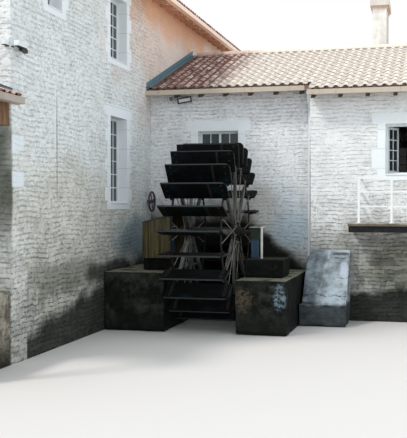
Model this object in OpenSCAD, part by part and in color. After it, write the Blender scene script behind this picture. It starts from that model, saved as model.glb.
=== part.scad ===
// A stone watermill: a tall mill house, a low tiled wing at right angles to it, and an open paddle
// wheel that turns in front of the wing between two masonry piers.
// Lengths are millimetres. X runs to the right along the wing, Y away from the river front, Z up.
// The origin is on the water line, in the middle of the river wall of the tall house and level
// with the front face of the wing. Every wall and pier stands on the plane z = 0.

/* [Tall house] */
// length of the tall house in front of the wing
house_front = 7080; // [5000:10:12000]
// how far the tall house runs on behind the wing
house_beyond = 560; // [100:10:3000]
// width of the tall house over its walls
house_width = 7500; // [6000:10:11000]
// thickness of the walls of the tall house
house_wall = 550; // [400:10:800]
// height of the ground floor above the water
ground_floor = 1350; // [1100:10:1800]
// height of the upper floor above the water
upper_floor = 4800; // [4600:10:5200]
// thickness of each floor
floor_t = 200; // [120:10:350]
// height from the upper floor to the top of the roof slab over the outer wall face
upper_h = 2803; // [2650:1:3600]
// rise of the tall roof for each unit of run
house_slope = 0.34; // [0.25:0.01:0.7]
// overhang of the roof slab past the long walls
house_overhang = 405; // [150:5:700]

/* [Low wing] */
// length of the set-back part of the wing
wing_left = 3830; // [3300:10:6000]
// length of the part of the wing that stands forward
wing_right = 4280; // [3600:10:9000]
// how far that part stands forward
wing_step = 420; // [200:10:800]
// depth from the front face to the back face of the wing
wing_depth = 7440; // [5000:10:7700]
// thickness of the walls of the wing
wing_wall = 500; // [350:10:700]
// height of the floor of the wing above the water
wing_floor_z = 2200; // [1900:10:2600]
// height of the top of the roof slab at the ridge
wing_ridge = 6625; // [6300:5:7200]
// rise of the low roof for each unit of run
wing_slope = 0.353; // [0.25:0.001:0.5]
// overhang of the low roof past its front wall
wing_overhang = 300; // [150:5:500]

/* [Roofs] */
// vertical thickness of the roof slabs under the tiles
slab_t = 115; // [60:5:200]
// spacing of the rows of cover tiles
tile_pitch = 205.5; // [180:0.5:260]
// radius of the rows of cover tiles over the roof slabs
tile_r = 56; // [40:1:70]
// overhang of the roofs past the gable walls
verge = 120; // [0:5:300]
// radius of the half-round ridge tiles
ridge_r = 108; // [80:2:180]
// height of the middle of the ridge tiles over the roof slabs
ridge_lift = 32; // [0:2:90]
// width of the gutters
gutter_w = 120; // [90:5:180]
// height of the gutters
gutter_h = 105; // [80:5:160]
// width of the rafter tails under the eaves
rafter_w = 80; // [50:5:120]
// spacing of the rafter tails
rafter_step = 585; // [400:5:900]
// radius of the downpipe
pipe_r = 36; // [25:1:60]

/* [Windows] */
// width of the tall windows
win_w = 1000; // [700:10:1300]
// depth of the stone surround into the wall
reveal = 200; // [120:5:300]
// how far the stone surround stands proud of the wall
proud = 10; // [2:1:30]
// width of the frame members of the windows
frame_w = 50; // [35:1:80]
// depth of the window frames
frame_d = 60; // [40:1:90]
// thickness of the glass
glass_t = 6; // [4:1:12]
// angle by which the open casement is swung in
casement_open = 62; // [0:1:90]

/* [Water wheel] */
// outer radius of the wheel over its paddles
wheel_r = 1850; // [1500:10:1950]
// width of the paddles along the axle
wheel_w = 1308; // [1000:4:1340]
// number of paddles
paddles = 24; // [16:1:32]
// depth of each paddle from its outer to its inner edge
paddle_d = 450; // [300:5:600]
// thickness of the paddle boards
paddle_t = 32; // [20:1:50]
// lean of the paddles away from the radial line
paddle_lean = 8; // [0:1:20]
// angle by which the wheel stands turned at rest
wheel_turn = -1.9; // [-7.5:0.1:7.5]
// radius of the rounded outer corner of each paddle
paddle_corner = 100; // [20:5:200]
// height of the axle above the water
axle_z = 1980; // [1900:5:2400]
// distance of the axle in front of the wing
axle_out = 2000; // [1960:5:2600]
// distance of the middle of the wheel from the river wall
wheel_mid = 2008; // [1950:2:2020]
// radius of the shaft
shaft_r = 90; // [60:5:140]
// radius of the journals in the bearings
journal_r = 36; // [25:1:60]
// radial clearance of the journals in their bearings
journal_gap = 0.05; // [0.02:0.01:0.1]
// number of arms on each side of the wheel
arms = 8; // [6:1:12]
// width of the arms
arm_w = 84; // [50:2:94]
// radius of the tie rods that cross between the hubs and the rims
rod_r = 9; // [6:1:11]
// thickness of the rims, hub plates and arms
iron_t = 16; // [8:1:30]
// radial width of the rims
rim_w = 95; // [60:5:140]

/* [Piers] */
// distance the two wheel piers run forward from the wing
pier_out = 3100; // [2600:10:4000]
// height of the right pier
pier_right_h = 1070; // [800:10:1300]
// height of the left pier
pier_left_h = 1190; // [800:10:1300]
// width of the gap the wheel turns in
pit_w = 1420; // [1360:10:1500]
// height of the bearing blocks above the water
block_top = 1440; // [1350:5:1600]
// width of the race arch in the wing
race_w = 1300; // [900:10:1400]
// height of the crown of the race arch
race_h = 1500; // [1000:10:1800]

/* [Deck and buttress] */
// height of the top of the deck above the water
deck_top = 2154; // [2000:2:2400]
// depth of the deck in front of the wall
deck_out = 900; // [600:10:1400]
// length of the deck
deck_len = 2452; // [2000:10:3600]
// thickness of the deck slab
deck_t = 60; // [40:2:120]
// height of the railing above the deck
rail_h = 960; // [800:10:1200]
// height of the buttress
buttress_h = 1560; // [1200:10:1900]
// depth of the buttress at the water line
buttress_out = 1150; // [700:10:1500]
// width of the buttress
buttress_w = 900; // [600:10:980]
// how far the buttress's blunt ridge stands from its left side
buttress_ridge = 460; // [200:10:600]
// how far its left side falls back from the sloping face
buttress_fall = 170; // [20:10:250]

/* [Porch] */
// depth of the porch in front of the tall house
porch_out = 1900; // [1200:10:3000]
// width of the porch roof between its eaves
porch_w = 3200; // [2400:10:4000]
// height of the porch eave
porch_eave = 4200; // [3900:10:4400]

/* [Chimney] */
// distance of the middle of the chimney from the river wall
chimney_at = 5095; // [3500:5:6500]
// width of the chimney stack
stack_w = 370; // [300:10:600]
// depth of the chimney stack
stack_d = 1100; // [400:10:1400]
// height of the top of the chimney
chimney_top = 7990; // [7500:10:8800]
// thickness of the chimney cap
cap_t = 170; // [60:10:250]
// overhang of the chimney cap
cap_over = 65; // [20:5:120]

/* [Hidden] */
$fn = 64;
e = 1;
house_eave = upper_floor + upper_h;
rx = house_wall / 2;
hx = rx - house_width;
hmid = rx - house_width / 2;
yf = -house_front;
yb = wing_depth + house_beyond;
house_len = yb - yf;
wx = rx + wing_left;
wend = wx + wing_right;
wmid = wing_depth / 2;
wy = -wing_step;
ax_x = rx + wheel_mid;
ax_y = -axle_out;
pit_l = ax_x - pit_w / 2;
pit_r = ax_x + pit_w / 2;
jamb_w = 170;
jamb_long = 290;
lintel_h = 240;
sill_h = 120;
rim_out = wheel_r - paddle_d - 10;
rim_in = rim_out - rim_w;
rim_x = wheel_w / 2 - 150;
hub_r = 270;
boss_r = 125;
walkway = pier_left_h;
win_low_z = ground_floor + 1220;
win_low_h = 1820;
win_up_z = upper_floor + 790;
win_up_h = 1330;
right_win_x = wx + wing_right / 2;
left_win_x = rx + 1640;
wing_win_z = 3190;
wing_win_h = 1100;
lw_win_z = 3150;
lw_win_h = 1100;
deck_l = right_win_x - deck_len / 2;
porch_side = 160;
porch_mid = rx + porch_side + 40 - porch_w / 2;
porch_slope = 0.38;
porch_post = 120;
porch_beam_z = 3790;
door_x = porch_mid;
door_w = 1000;
door_h = 2150;
chimney_x = rx + chimney_at;
chimney_y = wmid + 200;
block_l = 800;
block_y = 450;
cover_l = 620;
cover_y = 600;
cover_low = 2190;
cover_high = 2340;
stand_l = 190;
plate_l = 285;
rod_layers = [16, 40];
row_start = 30;
rows_left = floor((wing_left - 210) / tile_pitch);
rows_right = floor((wing_right + verge - 70) / tile_pitch);

// windows as [place along the wall, sill height, width, height]
river_wins = [
  [-2185, win_low_z, win_w, win_low_h],
  [-2185, win_up_z, win_w, win_up_h],
  [-5415, win_up_z + 400, 600, 800]
];
front_wins = [
  [hx + 1900, win_low_z, win_w, win_low_h],
  [hx + 1900, win_up_z, win_w, win_up_h],
  [door_x, win_up_z, win_w, win_up_h]
];
rear_wins = [
  [hx + 1900, win_up_z, win_w, win_up_h],
  [rx - 1900, win_up_z, win_w, win_up_h]
];
bay = house_len / 3;
left_wins = [
  for (i = [0:2]) for (s = [0, 1])
    [yf + bay * (i + 0.5), s == 0 ? win_low_z : win_up_z, win_w, s == 0 ? win_low_h : win_up_h]
];
wing_left_wins = [[left_win_x, lw_win_z, 960, lw_win_h]];
wing_right_wins = [[right_win_x, wing_win_z, win_w, wing_win_h]];
wing_rear_wins = [
  [left_win_x, wing_win_z, win_w, wing_win_h],
  [right_win_x, wing_win_z, win_w, wing_win_h]
];

function house_z(x) = house_eave - slab_t - house_slope * (x < hmid ? hx - x : x - rx);
function wing_z(y) = wing_ridge - slab_t - wing_slope * abs(y - wmid);
function porch_z(x) = porch_eave - slab_t + porch_slope * (porch_w / 2 - abs(x - porch_mid));

module box(a, b) {
  translate(a) cube(b - a);
}

// stand a flat drawing up in a wall: the drawing's x runs along X and its y runs up
module up_x(y0, t) {
  translate([0, y0 + t, 0]) rotate([90, 0, 0]) linear_extrude(t) children();
}

// stand a flat drawing up in a wall: the drawing's x runs along Y and its y runs up
module up_y(x0, t) {
  translate([x0, 0, 0]) rotate([90, 0, 90]) linear_extrude(t) children();
}

// outline of a stone surround with its jamb stones toothed into the wall
module surround_shape(c, z, w, h) {
  translate([c - w / 2 - jamb_long, z + h]) square([w + 2 * jamb_long, lintel_h]);
  translate([c - w / 2 - jamb_w, z - sill_h]) square([w + 2 * jamb_w, h + sill_h + e]);
  n = max(1, floor(h / 600));
  p = h / n;
  for (i = [0:n - 1])
    translate([c - w / 2 - jamb_long, z + p * (i + 0.1)]) square([w + 2 * jamb_long, p * 0.42]);
}

module hole_shape(c, z, w, h) {
  translate([c - w / 2, z]) square([w, h]);
}

module ring_shape(v) {
  difference() {
    surround_shape(v[0], v[1], v[2], v[3]);
    hole_shape(v[0], v[1], v[2], v[3]);
  }
}

// cuts for windows in a wall that faces -Y, whose outer face is at y0
module cut_front(wins, y0, t) {
  for (v = wins) {
    up_x(y0 - e, t + 2 * e) hole_shape(v[0], v[1], v[2], v[3]);
    up_x(y0 - e, reveal + e) surround_shape(v[0], v[1], v[2], v[3]);
  }
}

module cut_rear(wins, y0, t) {
  for (v = wins) {
    up_x(y0 - t - e, t + 2 * e) hole_shape(v[0], v[1], v[2], v[3]);
    up_x(y0 - reveal, reveal + e) surround_shape(v[0], v[1], v[2], v[3]);
  }
}

module cut_right(wins, x0, t) {
  for (v = wins) {
    up_y(x0 - t - e, t + 2 * e) hole_shape(v[0], v[1], v[2], v[3]);
    up_y(x0 - reveal, reveal + e) surround_shape(v[0], v[1], v[2], v[3]);
  }
}

module cut_left(wins, x0, t) {
  for (v = wins) {
    up_y(x0 - e, t + 2 * e) hole_shape(v[0], v[1], v[2], v[3]);
    up_y(x0 - e, reveal + e) surround_shape(v[0], v[1], v[2], v[3]);
  }
}

module house_gable_shape() {
  polygon([
    [hx, 0], [rx, 0], [rx, house_z(rx)], [hmid, house_z(hmid)], [hx, house_z(hx)]
  ]);
}

module house_river_wall() {
  color("#e4e1da")
  difference() {
    translate([0, yf + house_wall, 0]) rotate([90, 0, 180]) mirror([1, 0, 0])
      linear_extrude(house_len - 2 * house_wall)
        polygon([
          [rx - house_wall, 0], [rx, 0], [rx, house_z(rx)], [rx - house_wall, house_z(rx - house_wall)]
        ]);
    cut_right(river_wins, rx, house_wall);
  }
}

module house_left_wall() {
  color("#e0dcd2")
  difference() {
    translate([0, yf + house_wall, 0]) rotate([90, 0, 180]) mirror([1, 0, 0])
      linear_extrude(house_len - 2 * house_wall)
        polygon([
          [hx, 0], [hx + house_wall, 0], [hx + house_wall, house_z(hx + house_wall)], [hx, house_z(hx)]
        ]);
    cut_left(left_wins, hx, house_wall);
  }
}

module house_front_wall() {
  color("#ece9e0")
  difference() {
    up_x(yf, house_wall) house_gable_shape();
    cut_front(front_wins, yf, house_wall);
    up_x(yf - e, house_wall + 2 * e) hole_shape(door_x, ground_floor, door_w, door_h);
    up_x(yf - e, reveal + e) surround_shape(door_x, ground_floor, door_w, door_h);
  }
}

module house_rear_wall() {
  color("#e0dcd2")
  difference() {
    up_x(yb - house_wall, house_wall) house_gable_shape();
    cut_rear(rear_wins, yb, house_wall);
  }
}

module floors() {
  color("#8b7a63") {
    for (z = [ground_floor, upper_floor])
      box([hx + house_wall, yf + house_wall, z - floor_t], [rx - house_wall, yb - house_wall, z]);
    difference() {
      box([rx, wy + wing_wall, wing_floor_z - floor_t],
        [wend - wing_wall, wing_depth - wing_wall, wing_floor_z]);
      box([rx - e, wy - e, wing_floor_z - floor_t - e], [wx + wing_wall, wing_wall, wing_floor_z + e]);
    }
  }
}

// one row of cover tiles up a slope: a plain half-round rib from the eave at the origin, rising along Y
// its lower end stands back by row_start, so that it stays inside the slab
module tile_row(run, slope) {
  rise = atan(slope);
  translate([0, 0, -4]) rotate([rise - 90, 0, 0]) translate([0, 0, row_start])
    cylinder(r = tile_r, h = run / cos(rise) - row_start);
}

// rows of cover tiles side by side along X, over this length from the origin
module tile_rows(length, run, slope) {
  n = floor(length / tile_pitch);
  spare = (length - n * tile_pitch) / 2;
  for (i = [1:n - 1]) translate([spare + i * tile_pitch, 0, 0]) tile_row(run, slope);
}

module house_roof() {
  a = rx + house_overhang;
  b = hx - house_overhang;
  len = house_len + 2 * verge;
  run = a - hmid - ridge_r - 10;
  color("#c98a68")
  union() {
    up_x(yf - verge, len)
      polygon([
        [b, house_z(b)], [hmid, house_z(hmid)], [a, house_z(a)], [a, house_z(a) + slab_t],
        [hmid, house_z(hmid) + slab_t], [b, house_z(b) + slab_t]
      ]);
    translate([a, yf - verge, house_z(a) + slab_t]) rotate([0, 0, 90]) tile_rows(len, run, house_slope);
    translate([b, yb + verge, house_z(b) + slab_t]) rotate([0, 0, -90]) tile_rows(len, run, house_slope);
  }
}

module house_surrounds() {
  color("#f0efe9") {
    for (v = river_wins) up_y(rx - reveal, reveal + proud) ring_shape(v);
    for (v = front_wins) up_x(yf - proud, reveal + proud) ring_shape(v);
    for (v = rear_wins) up_x(yb - reveal, reveal + proud) ring_shape(v);
    for (v = left_wins) up_y(hx - proud, reveal + proud) ring_shape(v);
    up_x(yf - proud, reveal + proud) ring_shape([door_x, ground_floor, door_w, door_h]);
  }
}

// a box gutter with a hollow, drawn across: x outward from the slab edge, y up
module gutter_shape() {
  difference() {
    square([gutter_w, gutter_h]);
    translate([12, 12]) square([gutter_w - 24, gutter_h]);
  }
}

module house_gutters() {
  gz = house_z(rx + house_overhang) - 30;
  pz = porch_z(rx + porch_side) + 10;
  color("#d9b79a") {
    up_x(yf - verge, house_len + 2 * verge) {
      translate([rx + house_overhang, gz]) gutter_shape();
      translate([hx - house_overhang, gz]) mirror([1, 0]) gutter_shape();
    }
    up_x(yf - porch_out, porch_out - 60) translate([rx + porch_side, pz]) gutter_shape();
  }
}

module front_door() {
  color("#6f5237")
  box([door_x - door_w / 2, yf + reveal, ground_floor],
    [door_x + door_w / 2, yf + reveal + 60, ground_floor + door_h]);
}

module wing_wall_left() {
  color("#e9e6de")
  difference() {
    translate([rx, 0, 0]) rotate([90, 0, 90]) linear_extrude(wing_left)
      polygon([[0, 0], [wing_wall, 0], [wing_wall, wing_z(wing_wall)], [0, wing_z(0)]]);
    cut_front(wing_left_wins, 0, wing_wall);
    race_cut(-e, wing_wall + 2 * e);
  }
}

// the arch that lets the water through under the wing
module race_cut(y0, t) {
  up_x(y0, t) {
    translate([ax_x - race_w / 2, -e]) square([race_w, race_h - race_w / 2 + e]);
    translate([ax_x, race_h - race_w / 2]) circle(r = race_w / 2);
  }
}

module wing_wall_right() {
  color("#f1efe8")
  difference() {
    union() {
      translate([wx, 0, 0]) rotate([90, 0, 90]) linear_extrude(wing_right - wing_wall)
        polygon([[wy, 0], [wy + wing_wall, 0], [wy + wing_wall, wing_z(wy + wing_wall)], [wy, wing_z(wy)]]);
      translate([wx, 0, 0]) rotate([90, 0, 90]) linear_extrude(wing_wall)
        polygon([[wy, 0], [wing_wall, 0], [wing_wall, wing_z(wing_wall)], [wy, wing_z(wy)]]);
    }
    cut_front(wing_right_wins, wy, wing_wall);
  }
}

module wing_gable_wall() {
  color("#e9e6de")
  up_y(wend - wing_wall, wing_wall)
    polygon([
      [wy, 0], [wing_depth, 0], [wing_depth, wing_z(wing_depth)], [wmid, wing_z(wmid)], [wy, wing_z(wy)]
    ]);
}

module wing_rear_wall() {
  color("#e0dcd2")
  difference() {
    translate([rx, 0, 0]) rotate([90, 0, 90]) linear_extrude(wing_left + wing_right - wing_wall)
      polygon([
        [wing_depth - wing_wall, 0], [wing_depth, 0], [wing_depth, wing_z(wing_depth)],
        [wing_depth - wing_wall, wing_z(wing_depth - wing_wall)]
      ]);
    cut_rear(wing_rear_wins, wing_depth, wing_wall);
    race_cut(wing_depth - wing_wall - e, wing_wall + 2 * e);
  }
}

// rows of cover tiles on the low roof, counted both ways from its step, up from the eave at y0
module wing_tile_rows(k0, k1, y0) {
  run = abs(wmid - y0) - ridge_r - 10;
  for (k = [k0:k1])
    translate([wx - 10 + k * tile_pitch, y0, wing_z(y0) + slab_t])
      mirror([0, y0 > wmid ? 1 : 0, 0]) tile_row(run, wing_slope);
}

module wing_roof_front() {
  color("#cf9a7c")
  union() {
    translate([rx, 0, 0]) rotate([90, 0, 90]) linear_extrude(wing_left)
      wing_slope_shape(-wing_overhang);
    translate([wx - 10, 0, 0]) rotate([90, 0, 90]) linear_extrude(wing_right + verge + 10)
      wing_slope_shape(wy - wing_overhang);
    wing_tile_rows(-rows_left, 0, -wing_overhang);
    wing_tile_rows(1, rows_right, wy - wing_overhang);
  }
}

module wing_slope_shape(y) {
  polygon([
    [y, wing_z(y)], [wmid, wing_z(wmid)], [wmid, wing_z(wmid) + slab_t], [y, wing_z(y) + slab_t]
  ]);
}

module wing_roof_rear() {
  color("#cf9a7c")
  union() {
    translate([rx, 0, 0]) rotate([90, 0, 90]) linear_extrude(wing_left + wing_right + verge)
      wing_slope_shape(wing_depth + wing_overhang);
    difference() {
      wing_tile_rows(-rows_left, rows_right, wing_depth + wing_overhang);
      box([chimney_x - stack_w / 2, chimney_y, 0], [chimney_x + stack_w / 2, chimney_y + stack_d, chimney_top]);
    }
  }
}

module wing_surrounds() {
  color("#f4f3ee") {
    for (v = wing_left_wins) up_x(-proud, reveal + proud) ring_shape(v);
    for (v = wing_right_wins) up_x(wy - proud, reveal + proud) ring_shape(v);
    for (v = wing_rear_wins) up_x(wing_depth - reveal, reveal + proud) ring_shape(v);
  }
}

module wing_gutters() {
  color("#d9c0a6") {
    up_y(rx, wing_left - 10 - gutter_w) wing_gutter_shape(-wing_overhang);
    up_y(wx - 10, wing_right + verge + 10) wing_gutter_shape(wy - wing_overhang);
    up_y(rx + house_overhang + gutter_w, wing_left + wing_right + verge - house_overhang - gutter_w)
      translate([wing_depth + wing_overhang, wing_z(wing_depth + wing_overhang) - 15]) gutter_shape();
  }
}

module wing_gutter_shape(y) {
  translate([y, wing_z(y) - 15]) mirror([1, 0]) gutter_shape();
}

module flashings() {
  color("#8e9db0") {
    up_y(rx, 8) flashing_shape(wmid, 60, 190);
    up_y(rx + 8, 130) flashing_shape(wmid - ridge_r - 4, 75, 6);
    up_x(yf - 8, 8) porch_flashing_shape(20, 130);
  }
}

// a strip that follows the low roof from its front eave up to y1, lifted by a and h tall
module flashing_shape(y1, a, h) {
  y0 = -wing_overhang - 40;
  polygon([
    [y0, wing_z(y0) + slab_t + a], [y1, wing_z(y1) + slab_t + a],
    [y1, wing_z(y1) + slab_t + a + h], [y0, wing_z(y0) + slab_t + a + h]
  ]);
}

// a strip that follows both slopes of the porch roof where they meet the gable wall
module porch_flashing_shape(a, h) {
  x1 = rx + 40;
  x0 = 2 * porch_mid - x1;
  z1 = porch_z(x1) + slab_t + a;
  zm = porch_z(porch_mid) + slab_t + a;
  polygon([[x0, z1], [porch_mid, zm], [x1, z1], [x1, z1 + h], [porch_mid, zm + h], [x0, z1 + h]]);
}

// a half-round ridge tile on its bed of mortar, drawn across the ridge of a roof with this slope
module ridge_shape(slope) {
  bed = ridge_r - 16;
  difference() {
    translate([0, ridge_lift]) circle(r = ridge_r);
    translate([-2 * ridge_r, ridge_lift - 2 * ridge_r]) square([4 * ridge_r, 2 * ridge_r]);
  }
  polygon([[0, 0], [bed, -slope * bed], [bed, ridge_lift + e], [-bed, ridge_lift + e], [-bed, -slope * bed]]);
}

module ridge_tiles() {
  color("#c9805c") {
    up_x(yf - verge, house_len + 2 * verge)
      translate([hmid, house_z(hmid) + slab_t]) ridge_shape(house_slope);
    up_y(rx + 10, wing_left + wing_right + verge - 10)
      translate([wmid, wing_z(wmid) + slab_t]) ridge_shape(wing_slope);
  }
}

module house_tail_shape() {
  a = rx;
  b = rx + house_overhang - 20;
  polygon([[a, house_z(a) - 110], [b, house_z(b) - 90], [b, house_z(b)], [a, house_z(a)]]);
}

module wing_tail_shape(y0) {
  a = y0;
  b = y0 - wing_overhang + 20;
  polygon([[a, wing_z(a) - 110], [b, wing_z(b) - 90], [b, wing_z(b)], [a, wing_z(a)]]);
}

module rafter_tails() {
  nh = floor((house_len - 400) / rafter_step);
  nl = floor((wing_left - 650) / rafter_step);
  nr = floor((wing_right - 150) / rafter_step);
  color("#6b5a48") {
    for (i = [0:nh]) {
      up_x(yf + 200 + i * rafter_step, rafter_w) house_tail_shape();
      up_x(yf + 200 + i * rafter_step, rafter_w) translate([2 * hmid, 0]) mirror([1, 0]) house_tail_shape();
    }
    for (i = [0:nl]) up_y(rx + 650 + i * rafter_step, rafter_w) wing_tail_shape(0);
    for (i = [0:nr]) up_y(wx + 60 + i * rafter_step, rafter_w) wing_tail_shape(wy);
  }
}

// one window frame with its middle post, drawn flat
module frame_shape(v) {
  difference() {
    hole_shape(v[0], v[1], v[2], v[3]);
    for (s = [-1, 1]) pane_shape(v, s);
  }
}

module pane_shape(v, s) {
  pw = (v[2] - 3 * frame_w) / 2;
  translate([v[0] + s * (frame_w / 2 + pw / 2) - pw / 2, v[1] + frame_w]) square([pw, v[3] - 2 * frame_w]);
}

module panes_shape(v) {
  for (s = [-1, 1]) pane_shape(v, s);
}

module bare_frame_shape(v) {
  difference() {
    hole_shape(v[0], v[1], v[2], v[3]);
    translate([v[0] - v[2] / 2 + frame_w, v[1] + frame_w]) square([v[2] - 2 * frame_w, v[3] - 2 * frame_w]);
  }
}

module window_frames() {
  color("#eef0ee") {
    for (v = river_wins) up_y(rx - reveal - frame_d, frame_d) frame_shape(v);
    for (v = left_wins) up_y(hx + reveal, frame_d) frame_shape(v);
    for (v = front_wins) up_x(yf + reveal, frame_d) frame_shape(v);
    for (v = rear_wins) up_x(yb - reveal - frame_d, frame_d) frame_shape(v);
    for (v = wing_left_wins) up_x(reveal, frame_d) frame_shape(v);
    for (v = wing_rear_wins) up_x(wing_depth - reveal - frame_d, frame_d) frame_shape(v);
  }
}

module window_glass() {
  g = (frame_d - glass_t) / 2;
  color("#56636b") {
    for (v = river_wins) up_y(rx - reveal - g - glass_t, glass_t) panes_shape(v);
    for (v = left_wins) up_y(hx + reveal + g, glass_t) panes_shape(v);
    for (v = front_wins) up_x(yf + reveal + g, glass_t) panes_shape(v);
    for (v = rear_wins) up_x(yb - reveal - g - glass_t, glass_t) panes_shape(v);
    for (v = wing_left_wins) up_x(reveal + g, glass_t) panes_shape(v);
    for (v = wing_rear_wins) up_x(wing_depth - reveal - g - glass_t, glass_t) panes_shape(v);
  }
}

// the open window: its frame and its two leaves, swung into the room on their hinge edges
module open_casement() {
  lw = (win_w - 2 * frame_w) / 2;
  lh = wing_win_h - 2 * frame_w;
  color("#eef0ee") up_x(wy + reveal, frame_d) bare_frame_shape(wing_right_wins[0]);
  color("#eef0ee")
  for (s = [-1, 1])
    translate([right_win_x + s * (win_w / 2 - frame_w), wy + reveal + frame_d, wing_win_z + frame_w])
      rotate([0, 0, -s * casement_open])
        mirror([s > 0 ? 1 : 0, 0, 0])
          difference() {
            cube([lw, 40, lh]);
            translate([frame_w, -e, frame_w]) cube([lw - 2 * frame_w, 40 + 2 * e, lh - 2 * frame_w]);
          }
}

// a round pipe from the left gutter back to the wall by a swan neck, then down to the pier
module downpipe() {
  px = wx - pipe_r - 12;
  py = -pipe_r - 22;
  gy = -wing_overhang - gutter_w / 2;
  top = wing_z(-wing_overhang) - 15;
  neck = 430;
  run = py - gy;
  drop = neck - 60;
  color("#e8e8e4") union() {
    translate([px, gy, top - 60]) cylinder(r = pipe_r, h = 60);
    translate([px, gy, top - 60]) sphere(r = pipe_r);
    translate([px, gy, top - 60]) rotate([180 + atan2(run, drop), 0, 0])
      cylinder(r = pipe_r, h = norm([run, drop]));
    translate([px, py, top - neck]) sphere(r = pipe_r);
    translate([px, py, pier_right_h + 60]) cylinder(r = pipe_r, h = top - neck - pier_right_h - 60);
    for (z = [pier_right_h + 300, (top + pier_right_h) / 2, top - neck - 150])
      difference() {
        union() {
          translate([px, py, z]) cylinder(r = pipe_r + 5, h = 30);
          translate([px - 12, py, z]) cube([24, -py, 30]);
        }
        translate([px, py, z - e]) cylinder(r = pipe_r - 2, h = 30 + 2 * e);
      }
  }
}

module chimney() {
  w = stack_w / 2;
  y0 = chimney_y;
  y1 = chimney_y + stack_d;
  neck = chimney_top - cap_t;
  color("#f0eee8")
  union() {
    up_y(chimney_x - w, stack_w)
      polygon([[y0, wing_z(y0) + slab_t], [y1, wing_z(y1) + slab_t], [y1, neck], [y0, neck]]);
    box([chimney_x - w - 25, y0 - 25, neck - 60], [chimney_x + w + 25, y1 + 25, neck + e]);
    box([chimney_x - w - cap_over, y0 - cap_over, neck],
      [chimney_x + w + cap_over, y1 + cap_over, chimney_top]);
  }
}

module deck_slab() {
  color("#c9c2b4")
  box([deck_l, wy - deck_out, deck_top - deck_t], [deck_l + deck_len, wy, deck_top]);
}

module deck_beams() {
  z0 = deck_top - deck_t - 130;
  z1 = deck_top - deck_t;
  color("#3d4248")
  union() {
    box([deck_l + 15, wy - deck_out + 20, z0], [deck_l + deck_len - 15, wy - deck_out + 120, z1]);
    for (i = [0:3])
      translate([deck_l + 15 + i * (deck_len - 130) / 3, wy - deck_out + 119, z0])
        cube([100, deck_out - 119, 130]);
  }
}

module deck_railing() {
  p = 45;
  xl = deck_l + 200;
  xr = deck_l + deck_len - 200;
  yo = wy - deck_out + 60;
  color("#f2f2ef")
  union() {
    for (i = [0:3])
      translate([xl + i * (xr - xl - p) / 3, yo, deck_top]) cube([p, p, rail_h]);
    for (z = [330, 640, rail_h - 35]) {
      box([xl, yo + 8, deck_top + z], [xr, yo + 37, deck_top + z + 30]);
      for (x = [xl + 8, xr - 37]) box([x, yo + 8, deck_top + z], [x + 29, wy, deck_top + z + 30]);
    }
  }
}

module buttress() {
  x0 = wx - 70;
  w = buttress_w + 70;
  base_h = 460;
  ledge = 110;
  r = 320;
  top_y = wy - 170;
  top_z = buttress_h - 70;
  lean = atan2(top_y - (wy - buttress_out + ledge), top_z - base_h);
  color("#c4c2bb")
  difference() {
    intersection() {
      up_y(x0, w)
        polygon([
          [wy, 0], [wy - buttress_out, 0], [wy - buttress_out, base_h], [wy - buttress_out + ledge, base_h],
          [top_y, top_z], [wy - 60, buttress_h], [wy, buttress_h]
        ]);
      up_x(wy - buttress_out - e, buttress_out + 2 * e)
        union() {
          translate([x0, -e]) square([w + e, buttress_h - r + e]);
          translate([x0 + r, -e]) square([w - r + e, buttress_h + 2 * e]);
          translate([x0 + r, buttress_h - r]) circle(r = r);
        }
    }
    // the left part of the sloping face falls away from a blunt ridge
    intersection() {
      box([x0 - 50, wy - buttress_out - 50, base_h], [x0 + w, wy + 50, buttress_h + 200]);
      translate([x0, top_y, top_z]) rotate([-lean, 0, 0]) translate([0, 0, -1800]) linear_extrude(2600)
        polygon([
          [-50, buttress_fall * (1 + 50 / buttress_ridge)], [buttress_ridge + 50, -buttress_fall * 50 / buttress_ridge],
          [buttress_ridge + 50, -400], [-50, -400]
        ]);
    }
  }
}

module wheel_piers() {
  color("#6d6456") {
    union() {
      box([pit_r, -pier_out, 0], [wx - 70, 0, pier_right_h]);
      box([wx - 71, wy, 0], [wx, 0, pier_right_h]);
    }
    box([rx, -pier_out, 0], [pit_l, 0, pier_left_h]);
  }
}

module bearing_blocks() {
  color("#8a8070") {
    box([pit_r + 60, ax_y - block_y, pier_right_h], [pit_r + 60 + block_l, ax_y + block_y, block_top]);
    box([pit_l - cover_l - 20, ax_y - cover_y + 40, pier_left_h],
      [pit_l - 40, ax_y + cover_y - 40, block_top]);
  }
}

// a box pedestal with a bearing housing, a cover plate and a slim post, standing on its block
module stand(x0) {
  z1 = axle_z - 150;
  z2 = axle_z + 90;
  difference() {
    union() {
      box([x0 + 10, ax_y - 70, block_top], [x0 + stand_l - 40, ax_y + 70, z1]);
      box([x0, ax_y - 95, z1 - e], [x0 + stand_l, ax_y + 95, z2]);
      box([x0 - 10, ax_y - 130, z2 - e], [x0 - 10 + plate_l, ax_y + 130, z2 + 16]);
      translate([x0 - 10 + plate_l - 40, ax_y - 100, block_top]) cylinder(r = 25, h = z2 - block_top);
    }
    translate([x0 - e, ax_y, axle_z]) rotate([0, 90, 0])
      cylinder(r = journal_r + journal_gap, h = stand_l + 2 * e);
  }
}

module bearing_stands() {
  color("#2f5148") {
    stand(pit_r + 120);
    translate([2 * pit_l, 0, 0]) mirror([1, 0, 0]) stand(pit_l + 120);
  }
}

module wheel_cover() {
  x1 = pit_l - 20;
  x0 = x1 - cover_l;
  t = 28;
  color("#8a6a3c")
  difference() {
    up_x(ax_y - cover_y, 2 * cover_y)
      polygon([[x0, block_top], [x1, block_top], [x1, cover_high], [x0, cover_low]]);
    up_x(ax_y - cover_y + t, 2 * (cover_y - t))
      polygon([
        [x0 + t, block_top - e], [x1 + e, block_top - e], [x1 + e, cover_high - t], [x0 + t, cover_low - t]
      ]);
  }
}

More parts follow.
